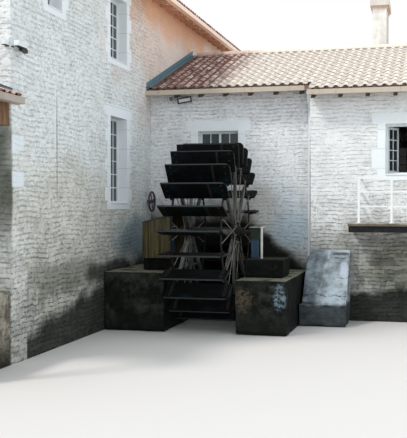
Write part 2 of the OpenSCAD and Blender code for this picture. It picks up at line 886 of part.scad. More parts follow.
// a lamp box on the wing wall, tilted a little, and a round sensor beside it
module wing_lamp() {
  lx = rx + 871;
  lz = wing_z(0) - 225;
  translate([lx, 0, lz]) rotate([90, 0, 0]) cylinder(r = 22, h = 71);
  translate([lx, -70, lz]) rotate([0, -8, 0]) difference() {
    translate([-170, -80, -65]) cube([340, 80, 130]);
    translate([-148, -80 - e, -45]) cube([296, 12, 90]);
  }
}

module wing_sensor() {
  sx = rx + 524;
  sz = wing_z(0) - 182;
  union() {
    translate([sx, 0, sz]) rotate([90, 0, 0]) cylinder(r = 20, h = 80);
    translate([sx, -80, sz]) rotate([90, 0, 35]) difference() {
      translate([0, 0, -12]) cylinder(r = 92, h = 72);
      translate([0, 0, 10]) cylinder(r = 80, h = 60);
    }
  }
}

// two small lamps at the front corner, one on each wall
module corner_lamps() {
  cz = upper_floor + 295;
  union() {
    box([rx, yf + 30, cz - 60], [rx + 14, yf + 110, cz + 60]);
    box([rx, yf + 55, cz - 20], [rx + 60, yf + 85, cz + 20]);
    translate([rx + 50, yf + 20, cz - 40]) rotate([-7, 0, 0]) cube([80, 300, 85]);
    translate([rx + 58, yf + 180, cz - 95]) rotate([-7, 0, 0]) cube([64, 190, 60]);
  }
  union() {
    box([rx - 90, yf - 14, cz - 60], [rx - 20, yf, cz + 60]);
    box([rx - 70, yf - 60, cz - 20], [rx - 40, yf, cz + 20]);
    translate([rx - 95, yf - 140, cz - 45]) cube([80, 100, 80]);
  }
}

module wall_lamps() {
  color("#dfe2e0") {
    wing_lamp();
    wing_sensor();
    corner_lamps();
  }
}

// an iron wheel with four spokes on a stub in the river wall, beside the wheel cover
module wall_wheel() {
  ring = 222;
  tube = 22;
  color("#2e3038")
  translate([rx + 110, -264, axle_z + 635]) rotate([0, 90, 0]) union() {
    rotate_extrude() translate([ring, 0]) circle(r = tube);
    for (a = [0, 90, 180, 270]) rotate([0, 90, a + 20]) cylinder(r = 12, h = ring);
    translate([0, 0, -110]) cylinder(r = 30, h = 140);
  }
}

module porch_base() {
  color("#a59c8b")
  box([2 * porch_mid - rx, yf - porch_out + 100, 0], [rx, yf, walkway]);
}

module porch_frame() {
  h = porch_post / 2;
  y0 = yf - porch_out + 100;
  color("#7a5a3a")
  for (s = [-1, 1]) {
    x = porch_mid + s * (porch_w / 2 - 290);
    union() {
      box([x - h, y0 + 60, walkway], [x + h, y0 + 60 + porch_post, porch_beam_z + e]);
      up_x(y0, porch_out - 100)
        polygon([
          [x - h, porch_beam_z], [x + h, porch_beam_z], [x + h, porch_z(x + h)], [x - h, porch_z(x - h)]
        ]);
    }
  }
}

module porch_roof() {
  a = porch_w / 2 - 40;
  eave = porch_z(porch_mid + a) + slab_t;
  color("#c98a68")
  union() {
    up_x(yf - porch_out, porch_out)
      polygon([
        [porch_mid - a, porch_z(porch_mid - a)], [porch_mid, porch_z(porch_mid)],
        [porch_mid + a, porch_z(porch_mid + a)], [porch_mid + a, eave],
        [porch_mid, porch_z(porch_mid) + slab_t], [porch_mid - a, eave]
      ]);
    translate([porch_mid + a, yf - porch_out, eave]) rotate([0, 0, 90])
      tile_rows(porch_out, a - ridge_r, porch_slope);
    translate([porch_mid - a, yf, eave]) rotate([0, 0, -90]) tile_rows(porch_out, a - ridge_r, porch_slope);
  }
}

// everything below turns with the axle; these parts are drawn around the X axis
module on_axle() {
  translate([ax_x, ax_y, axle_z]) rotate([wheel_turn, 0, 0]) children();
}

module lie(x0, r, h) {
  translate([x0, 0, 0]) rotate([0, 90, 0]) cylinder(r = r, h = h);
}

module wheel_axle() {
  half = pit_w / 2;
  color("#4a4038")
  on_axle() union() {
    lie(-half + 30, shaft_r, 2 * half - 60);
    lie(-half - 330, journal_r, 2 * half + 660);
  }
}

module wheel_hubs() {
  color("#3a3733")
  on_axle()
    for (s = [-1, 1]) translate([s * rim_x, 0, 0]) difference() {
      union() {
        lie(-iron_t / 2, hub_r, iron_t);
        lie(-90, boss_r, 180);
      }
      lie(-100, shaft_r + 0.2, 200);
    }
}

module wheel_arms() {
  color("#4b3a2c")
  on_axle()
    for (s = [-1, 1]) for (i = [0:arms - 1])
      rotate([i * 360 / arms, 0, 0])
        translate([s * (rim_x - iron_t / 2) - (s > 0 ? 50 : 0), -arm_w / 2, boss_r + 3])
          cube([50, arm_w, rim_out - 20 - boss_r]);
}

module wheel_rims() {
  $fn = 256;
  color("#3a3733")
  on_axle()
    for (s = [-1, 1]) translate([s * rim_x, 0, 0]) difference() {
      lie(-iron_t / 2, rim_out, iron_t);
      lie(-iron_t, rim_in, 2 * iron_t);
    }
}

function rod_end(r, a) = [0, -r * sin(a), r * cos(a)];

// one tie rod from the hub to the rim, with a pin at each end, on the outer side of the right rim
module tie_rod(hub_a, rim_a, layer) {
  a = rod_end(hub_r - 40, hub_a);
  b = rod_end((rim_in + rim_out) / 2, rim_a);
  d = b - a;
  x0 = rim_x + iron_t / 2;
  union() {
    translate(a + [x0 + layer, 0, 0]) rotate([atan2(-d[1], d[2]), 0, 0]) cylinder(r = rod_r, h = norm(d));
    translate(a) lie(x0, rod_r + 4, layer + rod_r + 6);
    translate(b) lie(x0, rod_r + 4, layer + rod_r + 6);
  }
}

module wheel_rods() {
  step = 360 / arms;
  color("#77716a")
  on_axle()
    for (s = [0, 1]) mirror([s, 0, 0]) for (i = [0:arms - 1]) {
      tie_rod((i + 0.5) * step + 5, (i + 0.5) * step + 32, rod_layers[0]);
      tie_rod((i + 0.5) * step - 5, (i + 0.5) * step - 32, rod_layers[1]);
    }
}

// place a piece on paddle i: local Z is the way out to the paddle's outer edge at z = 0
module on_paddle(i) {
  on_axle() rotate([i * 360 / paddles, 0, 0]) translate([0, 0, wheel_r])
    rotate([-paddle_lean, 0, 0]) children();
}

module wheel_paddles() {
  color("#2a2623")
  for (i = [0:paddles - 1]) on_paddle(i)
    translate([0, paddle_t / 2, 0]) rotate([90, 0, 0]) linear_extrude(paddle_t)
      union() {
        translate([-wheel_w / 2, -paddle_d]) square([wheel_w, paddle_d - paddle_corner]);
        translate([-wheel_w / 2, -paddle_corner - e]) square([wheel_w - paddle_corner, paddle_corner + e]);
        translate([wheel_w / 2 - paddle_corner, -paddle_corner]) circle(r = paddle_corner);
      }
}

module wheel_brackets() {
  color("#55504a")
  for (i = [0:paddles - 1]) on_paddle(i)
    for (s = [-1, 1])
      translate([s > 0 ? rim_x + iron_t / 2 : -rim_x - iron_t / 2 - 60, paddle_t / 2, -paddle_d - 85])
        cube([60, 14, paddle_d]);
}

house_river_wall();
house_front_wall();
house_rear_wall();
house_left_wall();
floors();
house_roof();
house_surrounds();
house_gutters();
front_door();
wing_wall_left();
wing_wall_right();
wing_rear_wall();
wing_gable_wall();
wing_roof_front();
wing_roof_rear();
wing_surrounds();
wing_gutters();
flashings();
ridge_tiles();
rafter_tails();
window_frames();
window_glass();
open_casement();
downpipe();
chimney();
deck_slab();
deck_beams();
deck_railing();
buttress();
wheel_piers();
bearing_blocks();
bearing_stands();
wheel_cover();
wall_lamps();
wall_wheel();
porch_base();
porch_frame();
porch_roof();
wheel_axle();
wheel_hubs();
wheel_arms();
wheel_rims();
wheel_rods();
wheel_paddles();
wheel_brackets();
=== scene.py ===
# %% [markdown]
# # A stone watermill around its imported frame
# The walls, roofs, piers and the wheel come from the CAD frame, which is already in metres and in
# its place. This lesson adds what a mason, a tiler, a joiner and a millwright would add: stones,
# canal tiles, glazing bars, boards, bolts and the wear of damp and weather.

# %% Load the frame
import math
import random

import bmesh
import bpy
from mathutils import Matrix, Vector, noise


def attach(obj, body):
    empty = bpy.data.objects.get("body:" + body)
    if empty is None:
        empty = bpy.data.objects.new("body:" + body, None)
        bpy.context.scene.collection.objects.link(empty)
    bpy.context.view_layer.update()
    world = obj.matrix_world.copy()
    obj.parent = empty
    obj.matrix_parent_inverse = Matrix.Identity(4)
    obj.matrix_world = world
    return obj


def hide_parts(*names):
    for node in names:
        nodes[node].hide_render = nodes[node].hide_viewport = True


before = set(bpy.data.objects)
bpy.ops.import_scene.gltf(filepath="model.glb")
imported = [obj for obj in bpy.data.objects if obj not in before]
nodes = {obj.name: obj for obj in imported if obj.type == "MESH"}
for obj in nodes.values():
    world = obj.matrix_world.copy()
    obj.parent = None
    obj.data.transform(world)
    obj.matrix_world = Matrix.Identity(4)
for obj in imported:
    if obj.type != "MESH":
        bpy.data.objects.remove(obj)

scene = bpy.context.scene
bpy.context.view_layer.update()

# %% [markdown]
# ## The camera
# A photograph of a building shows its own lens: the rows of tiles, the ridge and the eaves all run
# to their vanishing points. The camera faces the wheel from a little above its axle, and is turned
# by the two angles that make those lines agree. The sensor is fitted to the height of the picture,
# so the width of the picture doesn't change the scale.

# %% Set the camera
picture_height = 438
focal_in_pixels = 862
lens = bpy.data.cameras.new("front_camera")
lens.sensor_fit = "VERTICAL"
lens.sensor_height = 36
lens.lens = 36 * focal_in_pixels / picture_height
lens.clip_end = 300
camera = bpy.data.objects.new("front_camera", lens)
camera.location = (6.665, -19.48, 2.55)
camera.rotation_euler = (math.radians(90 - 0.98), 0, math.radians(14.67))
scene.collection.objects.link(camera)
scene.camera = camera
scene.view_settings.view_transform = "Standard"
print("lens of", round(lens.lens, 1), "mm")

# %% [markdown]
# ## Plain light
# The real mill stands in clear shade with the sun high on the left. Here a broad, soft sun comes
# from that side and an even sky fills the rest, at a level at which a colour renders about as it
# is written. Only rays that leave the camera, or a gloss, or a pane see the white backdrop.

# %% Light and backdrop
sun = bpy.data.lights.new("soft_sun", "SUN")
sun.energy = 1.8
sun.angle = math.radians(10)
sun.color = (1.0, 0.97, 0.92)
sun_lamp = bpy.data.objects.new("soft_sun", sun)
sun_lamp.rotation_euler = Vector((-0.86, -0.86, 1.45)).to_track_quat("Z", "Y").to_euler()
scene.collection.objects.link(sun_lamp)

sky = bpy.data.worlds.new("even_sky")
sky.use_nodes = True
scene.world = sky
sky_nodes = sky.node_tree.nodes
sky_nodes.clear()


def sky_node(kind, **values):
    made = sky_nodes.new("ShaderNode" + kind)
    for key, value in values.items():
        made.inputs[key].default_value = value
    return made


rays = sky_node("LightPath")
seen, seen_too = sky_node("Math"), sky_node("Math")
seen.operation = seen_too.operation = "MAXIMUM"
fill = sky_node("Background", Color=(0.86, 0.94, 1.0, 1), Strength=1.17)
backdrop = sky_node("Background", Color=(1, 1, 1, 1), Strength=1.0)
choose, sky_out = sky_node("MixShader"), sky_node("OutputWorld")
for source, target in ((rays.outputs["Is Camera Ray"], seen.inputs[0]),
        (rays.outputs["Is Glossy Ray"], seen.inputs[1]), (seen.outputs[0], seen_too.inputs[0]),
        (rays.outputs["Is Transmission Ray"], seen_too.inputs[1]),
        (seen_too.outputs[0], choose.inputs[0]), (fill.outputs[0], choose.inputs[1]),
        (backdrop.outputs[0], choose.inputs[2]), (choose.outputs[0], sky_out.inputs["Surface"])):
    sky.node_tree.links.new(source, target)
print("sun", sun.energy, "and sky", fill.inputs["Strength"].default_value)

# %% [markdown]
# ## Shader sums written as Python
# A finish is a sum of patterns: where a joint runs, where the wash has gone, how far the damp has
# risen. Wiring Math nodes by hand hides that sum. A Term wraps a socket, so that the sum can be
# written as a line of Python, and a Finish is one material that makes the nodes.

# %% Term and Finish
def operator(operation, swapped=False):
    def act(term, other):
        pair = (other, term) if swapped else (term, other)
        return term.finish.op(operation, *pair)
    return act


class Term:
    """A value on its way through a material; arithmetic on it adds the nodes."""
    __add__, __radd__ = operator("ADD"), operator("ADD", True)
    __sub__, __rsub__ = operator("SUBTRACT"), operator("SUBTRACT", True)
    __mul__, __rmul__ = operator("MULTIPLY"), operator("MULTIPLY", True)
    __truediv__ = operator("DIVIDE")

    def __init__(self, finish, socket):
        self.finish = finish
        self.socket = socket


class Finish:
    """One material, with the few patterns that this mill's surfaces are made of."""

    def __init__(self, name):
        self.material = bpy.data.materials.new(name)
        self.material.use_nodes = True
        self.tree = self.material.node_tree
        self.tree.nodes.clear()
        self.place = self.node("TexCoord", out="Object")
        self.tint = None

    def node(self, kind, settings=None, sockets=None, out=0):
        made = self.tree.nodes.new("ShaderNode" + kind)
        for key, value in (settings or {}).items():
            if key == "stops":
                ramp = made.color_ramp
                while len(ramp.elements) < len(value):
                    ramp.elements.new(0.5)
                for element, (at, colour) in zip(ramp.elements, value):
                    element.position = at
                    element.color = (*colour, 1)
            else:
                setattr(made, key, value)
        for key, value in (sockets or {}).items():
            socket = made.inputs[key]
            if isinstance(value, Term):
                self.tree.links.new(value.socket, socket)
            elif socket.type == "RGBA":
                socket.default_value = (*value, 1)
            else:
                socket.default_value = value
        return Term(self, made.outputs[out])

    def op(self, operation, *values, out=0):
        """One sum; it is made on vectors where any of its values is one."""
        kind = "Math"
        if any(isinstance(v, tuple) or isinstance(v, Term) and v.socket.type in {"VECTOR", "RGBA"}
                for v in values):
            kind = "VectorMath"
            values = [(v, v, v) if isinstance(v, (int, float)) else v for v in values]
        return self.node(kind, {"operation": operation}, dict(enumerate(values)), out)

    def mix(self, amount, first, second, blend="MIX"):
        return self.node("Mix",
            {"data_type": "RGBA", "blend_type": blend}, {0: amount, 6: first, 7: second}, out=2)

    def band(self, value, low, high):
        """0 below low, 1 above high and a soft step between; low may be the larger one."""
        return self.node("MapRange",
            {"interpolation_type": "SMOOTHSTEP"}, {"Value": value, "From Min": low, "From Max": high})

    def cloud(self, size, detail=4.0, rough=0.55, place=None, stretch=None):
        """Noise from 0 to 1 whose largest spots are about this many metres across."""
        at = place or self.place
        if stretch:
            at = at * stretch
        return self.node("TexNoise", {"noise_dimensions": "3D"},
            {"Vector": at, "Scale": 1.0 / size, "Detail": detail, "Roughness": rough}, out="Fac")

    def spots(self, low, high, *size, **more):
        """The part of a cloud that lies above low, full above high."""
        return self.band(self.cloud(*size, **more), low, high)

    def over(self, amount, tint, blend="MIX"):
        """Lays a tint over the colour so far."""
        self.tint = self.mix(amount, self.tint, tint, blend)

    def parts(self, vector=None):
        made = self.tree.nodes.new("ShaderNodeSeparateXYZ")
        self.tree.links.new((vector or self.place).socket, made.inputs[0])
        return [Term(self, made.outputs[i]) for i in range(3)]

    def blot(self, centre, reach, ragged=0.5, size=0.5):
        """A ragged spot: 1 in its middle, 0 outside its reach along each axis."""
        away = (self.place - tuple(centre)) / tuple(reach)
        length = self.op("LENGTH", away, out="Value")
        edge = length + (self.cloud(size, 6.0) - 0.5) * (2 * ragged)
        return self.band(edge, 1.0, 0.45)

    def block(self, centre, reach, soft=0.03):
        """A spot with square corners, for one sawn stone in a wall."""
        away = self.parts(self.op("ABSOLUTE", self.place - tuple(centre)))
        inside = [self.band(gap, far, far - soft) for gap, far in zip(away, reach)]
        return inside[0] * inside[1] * inside[2]

    def finish(self, colour, rough=0.8, height=None, depth=0.01, **fixed):
        """Ends the material: colour and roughness, and a height that makes its relief."""
        sockets = {"Base Color": colour, "Roughness": rough}
        for key, value in fixed.items():
            sockets[key.replace("_", " ")] = value
        if height is not None:
            sockets["Normal"] = self.node("Bump",
                {}, {"Height": height, "Distance": depth, "Strength": 1.0}, out="Normal")
        shader = self.node("BsdfPrincipled", {}, sockets, out="BSDF")
        last = self.tree.nodes.new("ShaderNodeOutputMaterial")
        self.tree.links.new(shader.socket, last.inputs["Surface"])
        return self.material


def srgb(*shown):
    """A colour read as 0 to 255 on the screen, in the linear numbers that a shader uses."""
    return tuple(c / 255 / 12.92 if c <= 10 else ((c / 255 + 0.055) / 1.055) ** 2.4 for c in shown)


def paint(material, *names):
    """Gives CAD nodes their material."""
    for name in names:
        nodes[name].data.materials.clear()
        nodes[name].data.materials.append(material)


# %% [markdown]
# ## Limewashed rubble
# The walls are courses of flat limestone, about ten centimetres high, laid in lime and washed over
# many times. Joints show as soft shadows, some stones have shed their wash, and the foot of each
# wall is stained by the damp. Modelling each stone would cost a million faces and show nothing
# more at this distance, so rows of cells with wavering coordinates give colour and relief.
# The pattern lies flat on each face: across it runs x or y, whichever the face follows.

# %% Stone courses
def wall_place(finish):
    """Coordinates that run along a wall and up it, whichever way the wall faces."""
    normal = finish.node("TexCoord", out="Normal")
    nx, _, nz = finish.parts(normal)
    x, y, z = finish.parts()
    side = finish.op("ABSOLUTE", nx)
    side = finish.band(side, 0.6, 0.75)
    level = finish.op("ABSOLUTE", nz)
    level = finish.band(level, 0.7, 0.8)
    along = x * (1 - side) + y * side
    height = z * (1 - level) + y * level
    return along, height


def courses(finish, long=0.26, tall=0.086, waver=1.0, shown=(0.44, 0.58)):
    """Coursed rubble: its open joints, short dark dashes, painted highlights on upper edges and a tone
    for each stone.
    """
    along, height = wall_place(finish)
    sway = (finish.cloud(1.2, 2.0) - 0.5) * (0.20 * waver)
    jolt = (finish.cloud(0.18, 5.0, 0.65) - 0.5) * (0.095 * waver)
    row = (height + sway + jolt) / tall
    phase = finish.op("FRACT", row)
    lane = finish.op("FLOOR", row)
    bed_lane = finish.op("ROUND", row)
    bed = finish.op("PINGPONG", row, 0.5)
    # every stone is a cell of a flat Voronoi whose rows are kept far apart
    cell_at = finish.node("CombineXYZ", {}, {"X": along / long, "Y": lane * 3.7})
    cells = {"Vector": cell_at, "Scale": 1.0, "Randomness": 0.9}
    side = finish.node("TexVoronoi",
        {"voronoi_dimensions": "2D", "feature": "DISTANCE_TO_EDGE"}, cells, out="Distance")
    tone = finish.node("TexVoronoi", {"voronoi_dimensions": "2D"}, cells, out="Color")
    grey = finish.node("SeparateColor", {}, {0: tone}, out=0)
    # a dash begins and ends on its own bed line, and is thickest in its middle
    run_at = finish.node("CombineXYZ", {}, {"X": along / long, "Y": bed_lane * 5.3})
    broken = finish.node("TexNoise", {"noise_dimensions": "2D"},
        {"Vector": run_at, "Scale": 2.2, "Detail": 4.0, "Roughness": 0.65}, out="Fac")
    chance = finish.band(broken + (finish.cloud(0.55, 4.0, 0.6) - 0.5) * 0.45, *shown)
    dashes = finish.band(bed - chance * 0.10 + (finish.cloud(0.035, 2.0) - 0.5) * 0.12,
        0.10, 0.0) * chance
    beds = finish.band(bed, 0.13, 0.03) * finish.spots(0.42, 0.58, 0.16, 4.0, 0.65)
    ends = finish.band(side, 0.06, 0.01) * finish.spots(0.44, 0.6, 0.3, 4.0)
    joints = finish.op("MAXIMUM", beds * 0.7, ends)
    # a painted highlight along the upper part of each stone, as if lit from above
    edge_highlight = finish.band(phase, 0.50, 0.80) * finish.band(phase, 0.98, 0.88)
    edge_highlight = edge_highlight * finish.spots(0.50, 0.62, 0.09, 4.0, 0.7)
    return joints, dashes, edge_highlight, grey


def limewashed(name, bare=0.35, stains=(), washes=(), foot=(2.0, 0.2), lime=srgb(240, 242, 242),
        marks=0.6, smooth=(), bounce_light=(), edges=(), long=0.26,
        damp_stones=(srgb(104, 106, 96), srgb(176, 170, 154))):
    """Rubble under lime. Stains and washes are blots, smooth ones are sawn blocks without marks, the
    blots after them lower the marks as painted reflected light, edges are stains below a sloping line,
    and foot is where the damp fades."""
    wall = Finish(name)
    joints, dashes, edge_highlight, grey = courses(wall, long=long)
    z = wall.parts()[2]
    stone = wall.node("ValToRGB",
        {"stops": [(0.0, srgb(176, 170, 156)), (0.35, srgb(214, 206, 190)),
        (0.6, srgb(196, 194, 186)), (1.0, srgb(230, 224, 212))]}, {"Fac": grey}, out="Color")
    rough = 1
    for centre, reach in smooth:
        rough = rough - wall.block(centre, reach)
    # these blots lower the marks as painted reflected light
    for centre, reach in bounce_light:
        rough = rough * (1 - wall.blot(centre, reach, 0.5, 1.1) * 0.75)
    low = wall.band(z + (wall.cloud(0.8, 5.0) - 0.5) * 1.6, foot[0] + 1.3, foot[1])
    fine = wall.cloud(0.085, 6.0, 0.72, stretch=(1, 1, 1.7))
    broad = wall.cloud(0.42, 6.0, 0.66, stretch=(1, 1, 1.4))
    shed = wall.band(broad + (grey - 0.5) * 0.14 + low * 0.14,
        0.84 - bare * 0.4, 0.96 - bare * 0.4) * rough
    wall.tint = wall.mix(shed, wall.mix(grey * 0.45, lime, tuple(c * 0.86 for c in lime)), stone)
    wall.over(wall.band(broad, 0.56, 0.34) * (0.16 + low * 0.38) * rough, srgb(138, 138, 132))
    wall.over(wall.band(fine, 0.52, 0.38) * (low * 0.3 + marks * 0.7) * rough, srgb(146, 146, 141))
    # the pale marks are partly the painted highlight on the stones' upper edges and partly pale
    # mottling
    pale = wall.op("MAXIMUM", edge_highlight * 0.6, wall.band(fine, 0.55, 0.64))
    wall.over(pale * 0.65, srgb(246, 248, 248))
    crumbs = wall.cloud(0.045, 3.0, 0.7)
    wall.over(wall.band(crumbs, 0.56, 0.68) * (low * 0.2 + marks * 0.4) * rough, srgb(132, 131, 127))
    holes = wall.spots(0.64, 0.70, 0.06, 3.0, 0.6) * wall.spots(0.36, 0.56, 0.5, 2.0)
    wall.over(joints * rough * (low * 0.3 + marks * 0.2), srgb(136, 132, 124))
    dark = wall.op("MAXIMUM", dashes, holes) * rough
    wall.over(dark * (low * 0.36 + marks * 0.32), srgb(108, 108, 106))
    for centre, reach, tint, amount in washes:
        wall.over(wall.blot(centre, reach, 0.6, 1.1) * amount, tint, "MULTIPLY")
    damp = wall.band(z + (wall.cloud(0.7, 6.0) - 0.5) * 1.5, foot[0], foot[1])
    bare_tint = wall.mix(
        wall.band(grey * 0.4 + wall.cloud(0.16, 6.0, 0.7) * 0.8, 0.40, 0.78), *damp_stones)
    gaps = wall.op("MAXIMUM", joints, dark)
    bare_tint = wall.mix(gaps * 0.75, bare_tint, srgb(58, 58, 52))
    wall.over(damp * 0.7, bare_tint)
    streaks = wall.spots(0.60, 0.80, 0.2, 4.0, 0.6, stretch=(1, 1, 0.12))
    wall.over(streaks * 0.16, srgb(140, 138, 132))
    for centre, reach in smooth:
        wall.over(wall.block(centre, reach) * 0.6, srgb(228, 238, 246))
    for centre, reach, tint, amount in stains:
        wall.over(wall.blot(centre, reach, 0.42, 0.45) * amount, tint)
    along = wall_place(wall)[0]
    for at, level, drop, cap, soft, tint, amount in edges:
        line = wall.op("MAXIMUM", z - level + (along - at) * drop, z - cap)
        line = line + (wall.cloud(0.4, 6.0, 0.62) - 0.5) * 0.5
        wall.over(wall.band(line, soft, -soft) * amount, tint)
    height = (1 - joints) * 0.30 + grey * 0.16 - dark * 0.5 + fine * 0.8 * rough + edge_highlight * 0.2
    return wall.finish(wall.tint, 0.92, height, 0.022, Specular_IOR_Level=0.1)


moss_black = srgb(22, 25, 21)
moss_green = srgb(62, 72, 56)

# the warm washes high up and the blot with fewer marks are painted light reflected from the wing roof
river_wall = limewashed("limewashed_long_wall", bare=0.36, long=0.34, marks=0.46, foot=(2.5, 0.3),
    lime=srgb(243, 246, 245),
    washes=[((0.28, -4.6, 2.0), (1, 4.6, 2.0), srgb(230, 225, 212), 0.7),
        ((0.28, 1.8, 6.9), (1, 5.2, 3.6), srgb(255, 228, 214), 0.75),
        ((0.28, 2.6, 7.65), (1, 8.5, 1.15), srgb(255, 214, 180), 0.85)],
    bounce_light=[((0.28, 3.2, 7.2), (1, 4.6, 2.2))],
    stains=[((0.28, -0.9, 1.80), (1, 2.1, 0.62), srgb(108, 140, 152), 0.65),
        ((0.28, -2.5, 1.16), (1, 1.9, 0.34), moss_black, 0.85),
        ((0.28, -4.8, 1.25), (1, 2.2, 0.42), moss_green, 0.5),
        ((0.28, -5.33, 3.6), (1, 0.024, 1.25), srgb(72, 66, 62), 0.85)],
    edges=[(-1.0, 1.30, -0.16, 1.5, 0.14, moss_black, 0.9)])
gable_wall = limewashed("limewashed_gables", bare=0.30, foot=(1.9, 0.2))
# the wall under the porch is darkened as painted shade of the porch roof, and its right end is the
# corner with the quoins
porch_wall = limewashed("limewashed_front_wall", bare=0.30, long=0.34, marks=0.46, foot=(1.9, 0.2),
    lime=srgb(243, 246, 245),
    washes=[((-1.1, -7.08, 2.6), (2.3, 0.12, 2.1), srgb(112, 116, 108), 0.95),
        ((0.28, -4.6, 2.0), (0.6, 4.6, 2.0), srgb(230, 225, 212), 0.7)],
    smooth=[((0.28, -6.84, z), (0.3, 0.22, 0.14)) for z in (2.955, 3.535)])
# the black mould below the axle lies under a line that falls to the right, with a tan fringe above it
# the blue-grey wash and the pale blue stain low on this wall are painted blue shade
shaded_wall = limewashed("limewashed_wing_wall", bare=0.32, foot=(2.2, 0.2),
    lime=srgb(250, 251, 253), marks=0.46,
    washes=[((2.9, 0, 2.2), (2.2, 1, 1.3), srgb(222, 234, 243), 0.5)],
    stains=[((3.6, 0, 2.0), (0.6, 1, 0.7), srgb(176, 200, 214), 0.5),
        ((2.6, 0, 2.5), (1.1, 1, 0.7), srgb(190, 180, 158), 0.45),
        ((1.0, 0, 3.6), (0.5, 1, 1.0), srgb(196, 198, 202), 0.2)],
    edges=[(2.93, 2.02, 0.80, 2.5, 0.30, srgb(120, 108, 84), 0.7),
        (2.93, 1.94, 0.80, 2.25, 0.16, moss_black, 0.98)])
# the darker damp stones and the dark wash under the deck are damp and painted shade of the deck
# the thin dark line at the wall's left edge is a painted shadow beside the downpipe
sunny_wall = limewashed("limewashed_right_wall", bare=0.16, foot=(2.5, 1.5),
    lime=srgb(248, 249, 249), marks=0.15, damp_stones=(srgb(88, 90, 80), srgb(152, 150, 136)),
    washes=[((7.2, -0.42, 1.2), (2.4, 1, 1.0), srgb(126, 127, 112), 0.8)],
    stains=[((4.11, -0.42, 2.7), (0.022, 1, 1.6), srgb(84, 86, 88), 0.7)],
    edges=[(5.2, 0.62, -0.10, 0.95, 0.12, moss_black, 0.92)])
plain_wall = limewashed("limewashed_rear_walls", bare=0.42, foot=(1.8, 0.2))
paint(river_wall, "house_river_wall")
paint(porch_wall, "house_front_wall")
paint(shaded_wall, "wing_wall_left")
paint(sunny_wall, "wing_wall_right")
paint(gable_wall, "wing_gable_wall")
paint(plain_wall, "house_rear_wall", "house_left_wall", "wing_rear_wall")
print("eight walls have their stone")

# %% [markdown]
# ## Dressed stone
# The windows and the door sit in blocks of sawn limestone, smooth and almost white, with fine
# joints between them. The blocks are CAD solids; here they get their joints, a light tooling and
# the grey that runs down from a sill.

# %% Dressed surrounds
def dressed(name, base=srgb(240, 246, 250), block=0.42):
    stone = Finish(name)
    along, height = wall_place(stone)
    row = stone.op("PINGPONG", height + 0.03, block / 2)
    joint = stone.band(row, 0.006, 0.001)
    cloudy = stone.cloud(0.5, 5.0)
    stone.tint = stone.mix(cloudy, base, stone.mix(stone.cloud(0.03, 3.0),
        srgb(226, 230, 230), srgb(246, 249, 250)))
    runs = stone.spots(0.58, 0.8, 0.12, 4.0, 0.6, stretch=(1, 1, 0.15))
    stone.over(runs * 0.28, srgb(186, 188, 184))
    stone.over(joint * 0.6, srgb(150, 146, 136))
    relief = (1 - joint) * 0.5 + stone.cloud(0.02, 3.0, 0.6) * 0.15 + cloudy * 0.2
    return stone.finish(stone.tint, 0.85, relief, 0.006, Specular_IOR_Level=0.3)


surround_stone = dressed("sawn_limestone")
paint(surround_stone, "house_surrounds", "wing_surrounds")
print("surrounds are dressed stone")

# %% [markdown]
# ## Making and placing pieces
# Every piece starts as a bmesh operator's shape and becomes one object at the origin, with its
# place in its mesh. A box with small bevels stands for sawn wood or stone, a cone with equal ends
# for a pipe or a bolt. What repeats is made once and laid as copies into one mesh. The small
# steps that every piece needs come first: to shift, turn, carry, cut and soften a shape.

# %% Small steps
def shift(*by):
    return Matrix.Translation(by)


def turned(degrees, axis):
    return Matrix.Rotation(math.radians(degrees), 4, axis)


def carry(bm, matrix):
    bmesh.ops.transform(bm, matrix=matrix, verts=bm.verts)


def outward(bm):
    bmesh.ops.recalc_face_normals(bm, faces=bm.faces)


def cut(bm, at, way, clear=True):
    """Cuts by a plane through at, and clears what lies on the side that way points to."""
    bmesh.ops.bisect_plane(bm, geom=bm.verts[:] + bm.edges[:] + bm.faces[:],
        plane_co=at, plane_no=way, clear_outer=clear)


def soften(bm, edges, offset, segments=1, clamp=False):
    bmesh.ops.bevel(bm, geom=edges, offset=offset, segments=segments,
        profile=0.5, affect="EDGES", material=-1, clamp_overlap=clamp)


def ring_shape(radius, tube, steps, place):
    """A closed round bar, bent to a ring of this radius."""
    ring = bmesh.new()
    bmesh.ops.create_circle(ring, segments=10, radius=tube,
        matrix=shift(radius, 0, 0) @ turned(90, "X"))
    bmesh.ops.spin(ring, geom=ring.edges[:], cent=(0, 0, 0), axis=(0, 0, 1),
        angle=math.tau, steps=steps, use_merge=True)
    outward(ring)
    carry(ring, place)
    return ring


# %% Box, rod, lay and piece
def box(bm, low, high, bevel=0.0, segments=1):
    """A box between two corners, with its edges broken by the bevel."""
    middle = (Vector(low) + Vector(high)) / 2
    size = Vector(high) - Vector(low)
    made = bmesh.ops.create_cube(bm, size=1,
        matrix=Matrix.Translation(middle) @ Matrix.Diagonal((*size, 1)))
    if bevel:
        edges = list({edge for vert in made["verts"] for edge in vert.link_edges})
        soften(bm, edges, bevel, segments, clamp=True)
    return made


def rod(bm, start, end, radius, radius_end=None, segments=16, caps=True):
    """A round bar from start to end."""
    start, end = Vector(start), Vector(end)
    turn = (end - start).to_track_quat("Z", "Y").to_matrix().to_4x4()
    bmesh.ops.create_cone(bm, cap_ends=caps, segments=segments, radius1=radius,
        radius2=radius if radius_end is None else radius_end,
        depth=(end - start).length, matrix=Matrix.Translation((start + end) / 2) @ turn)


def mesh_of(bm, name="template"):
    mesh = bpy.data.meshes.new(name)
    bm.to_mesh(mesh)
    bm.free()
    return mesh


def lay(template, places):
    """One bmesh with a copy of the template at each place."""
    rows = []
    for start in range(0, len(places), 40):
        row = bmesh.new()
        for place in places[start:start + 40]:
            copy = template.copy()
            copy.transform(place)
            row.from_mesh(copy)
            bpy.data.meshes.remove(copy)
        rows.append(mesh_of(row))
    whole = bmesh.new()
    for row in rows:
        whole.from_mesh(row)
        bpy.data.meshes.remove(row)
    return whole


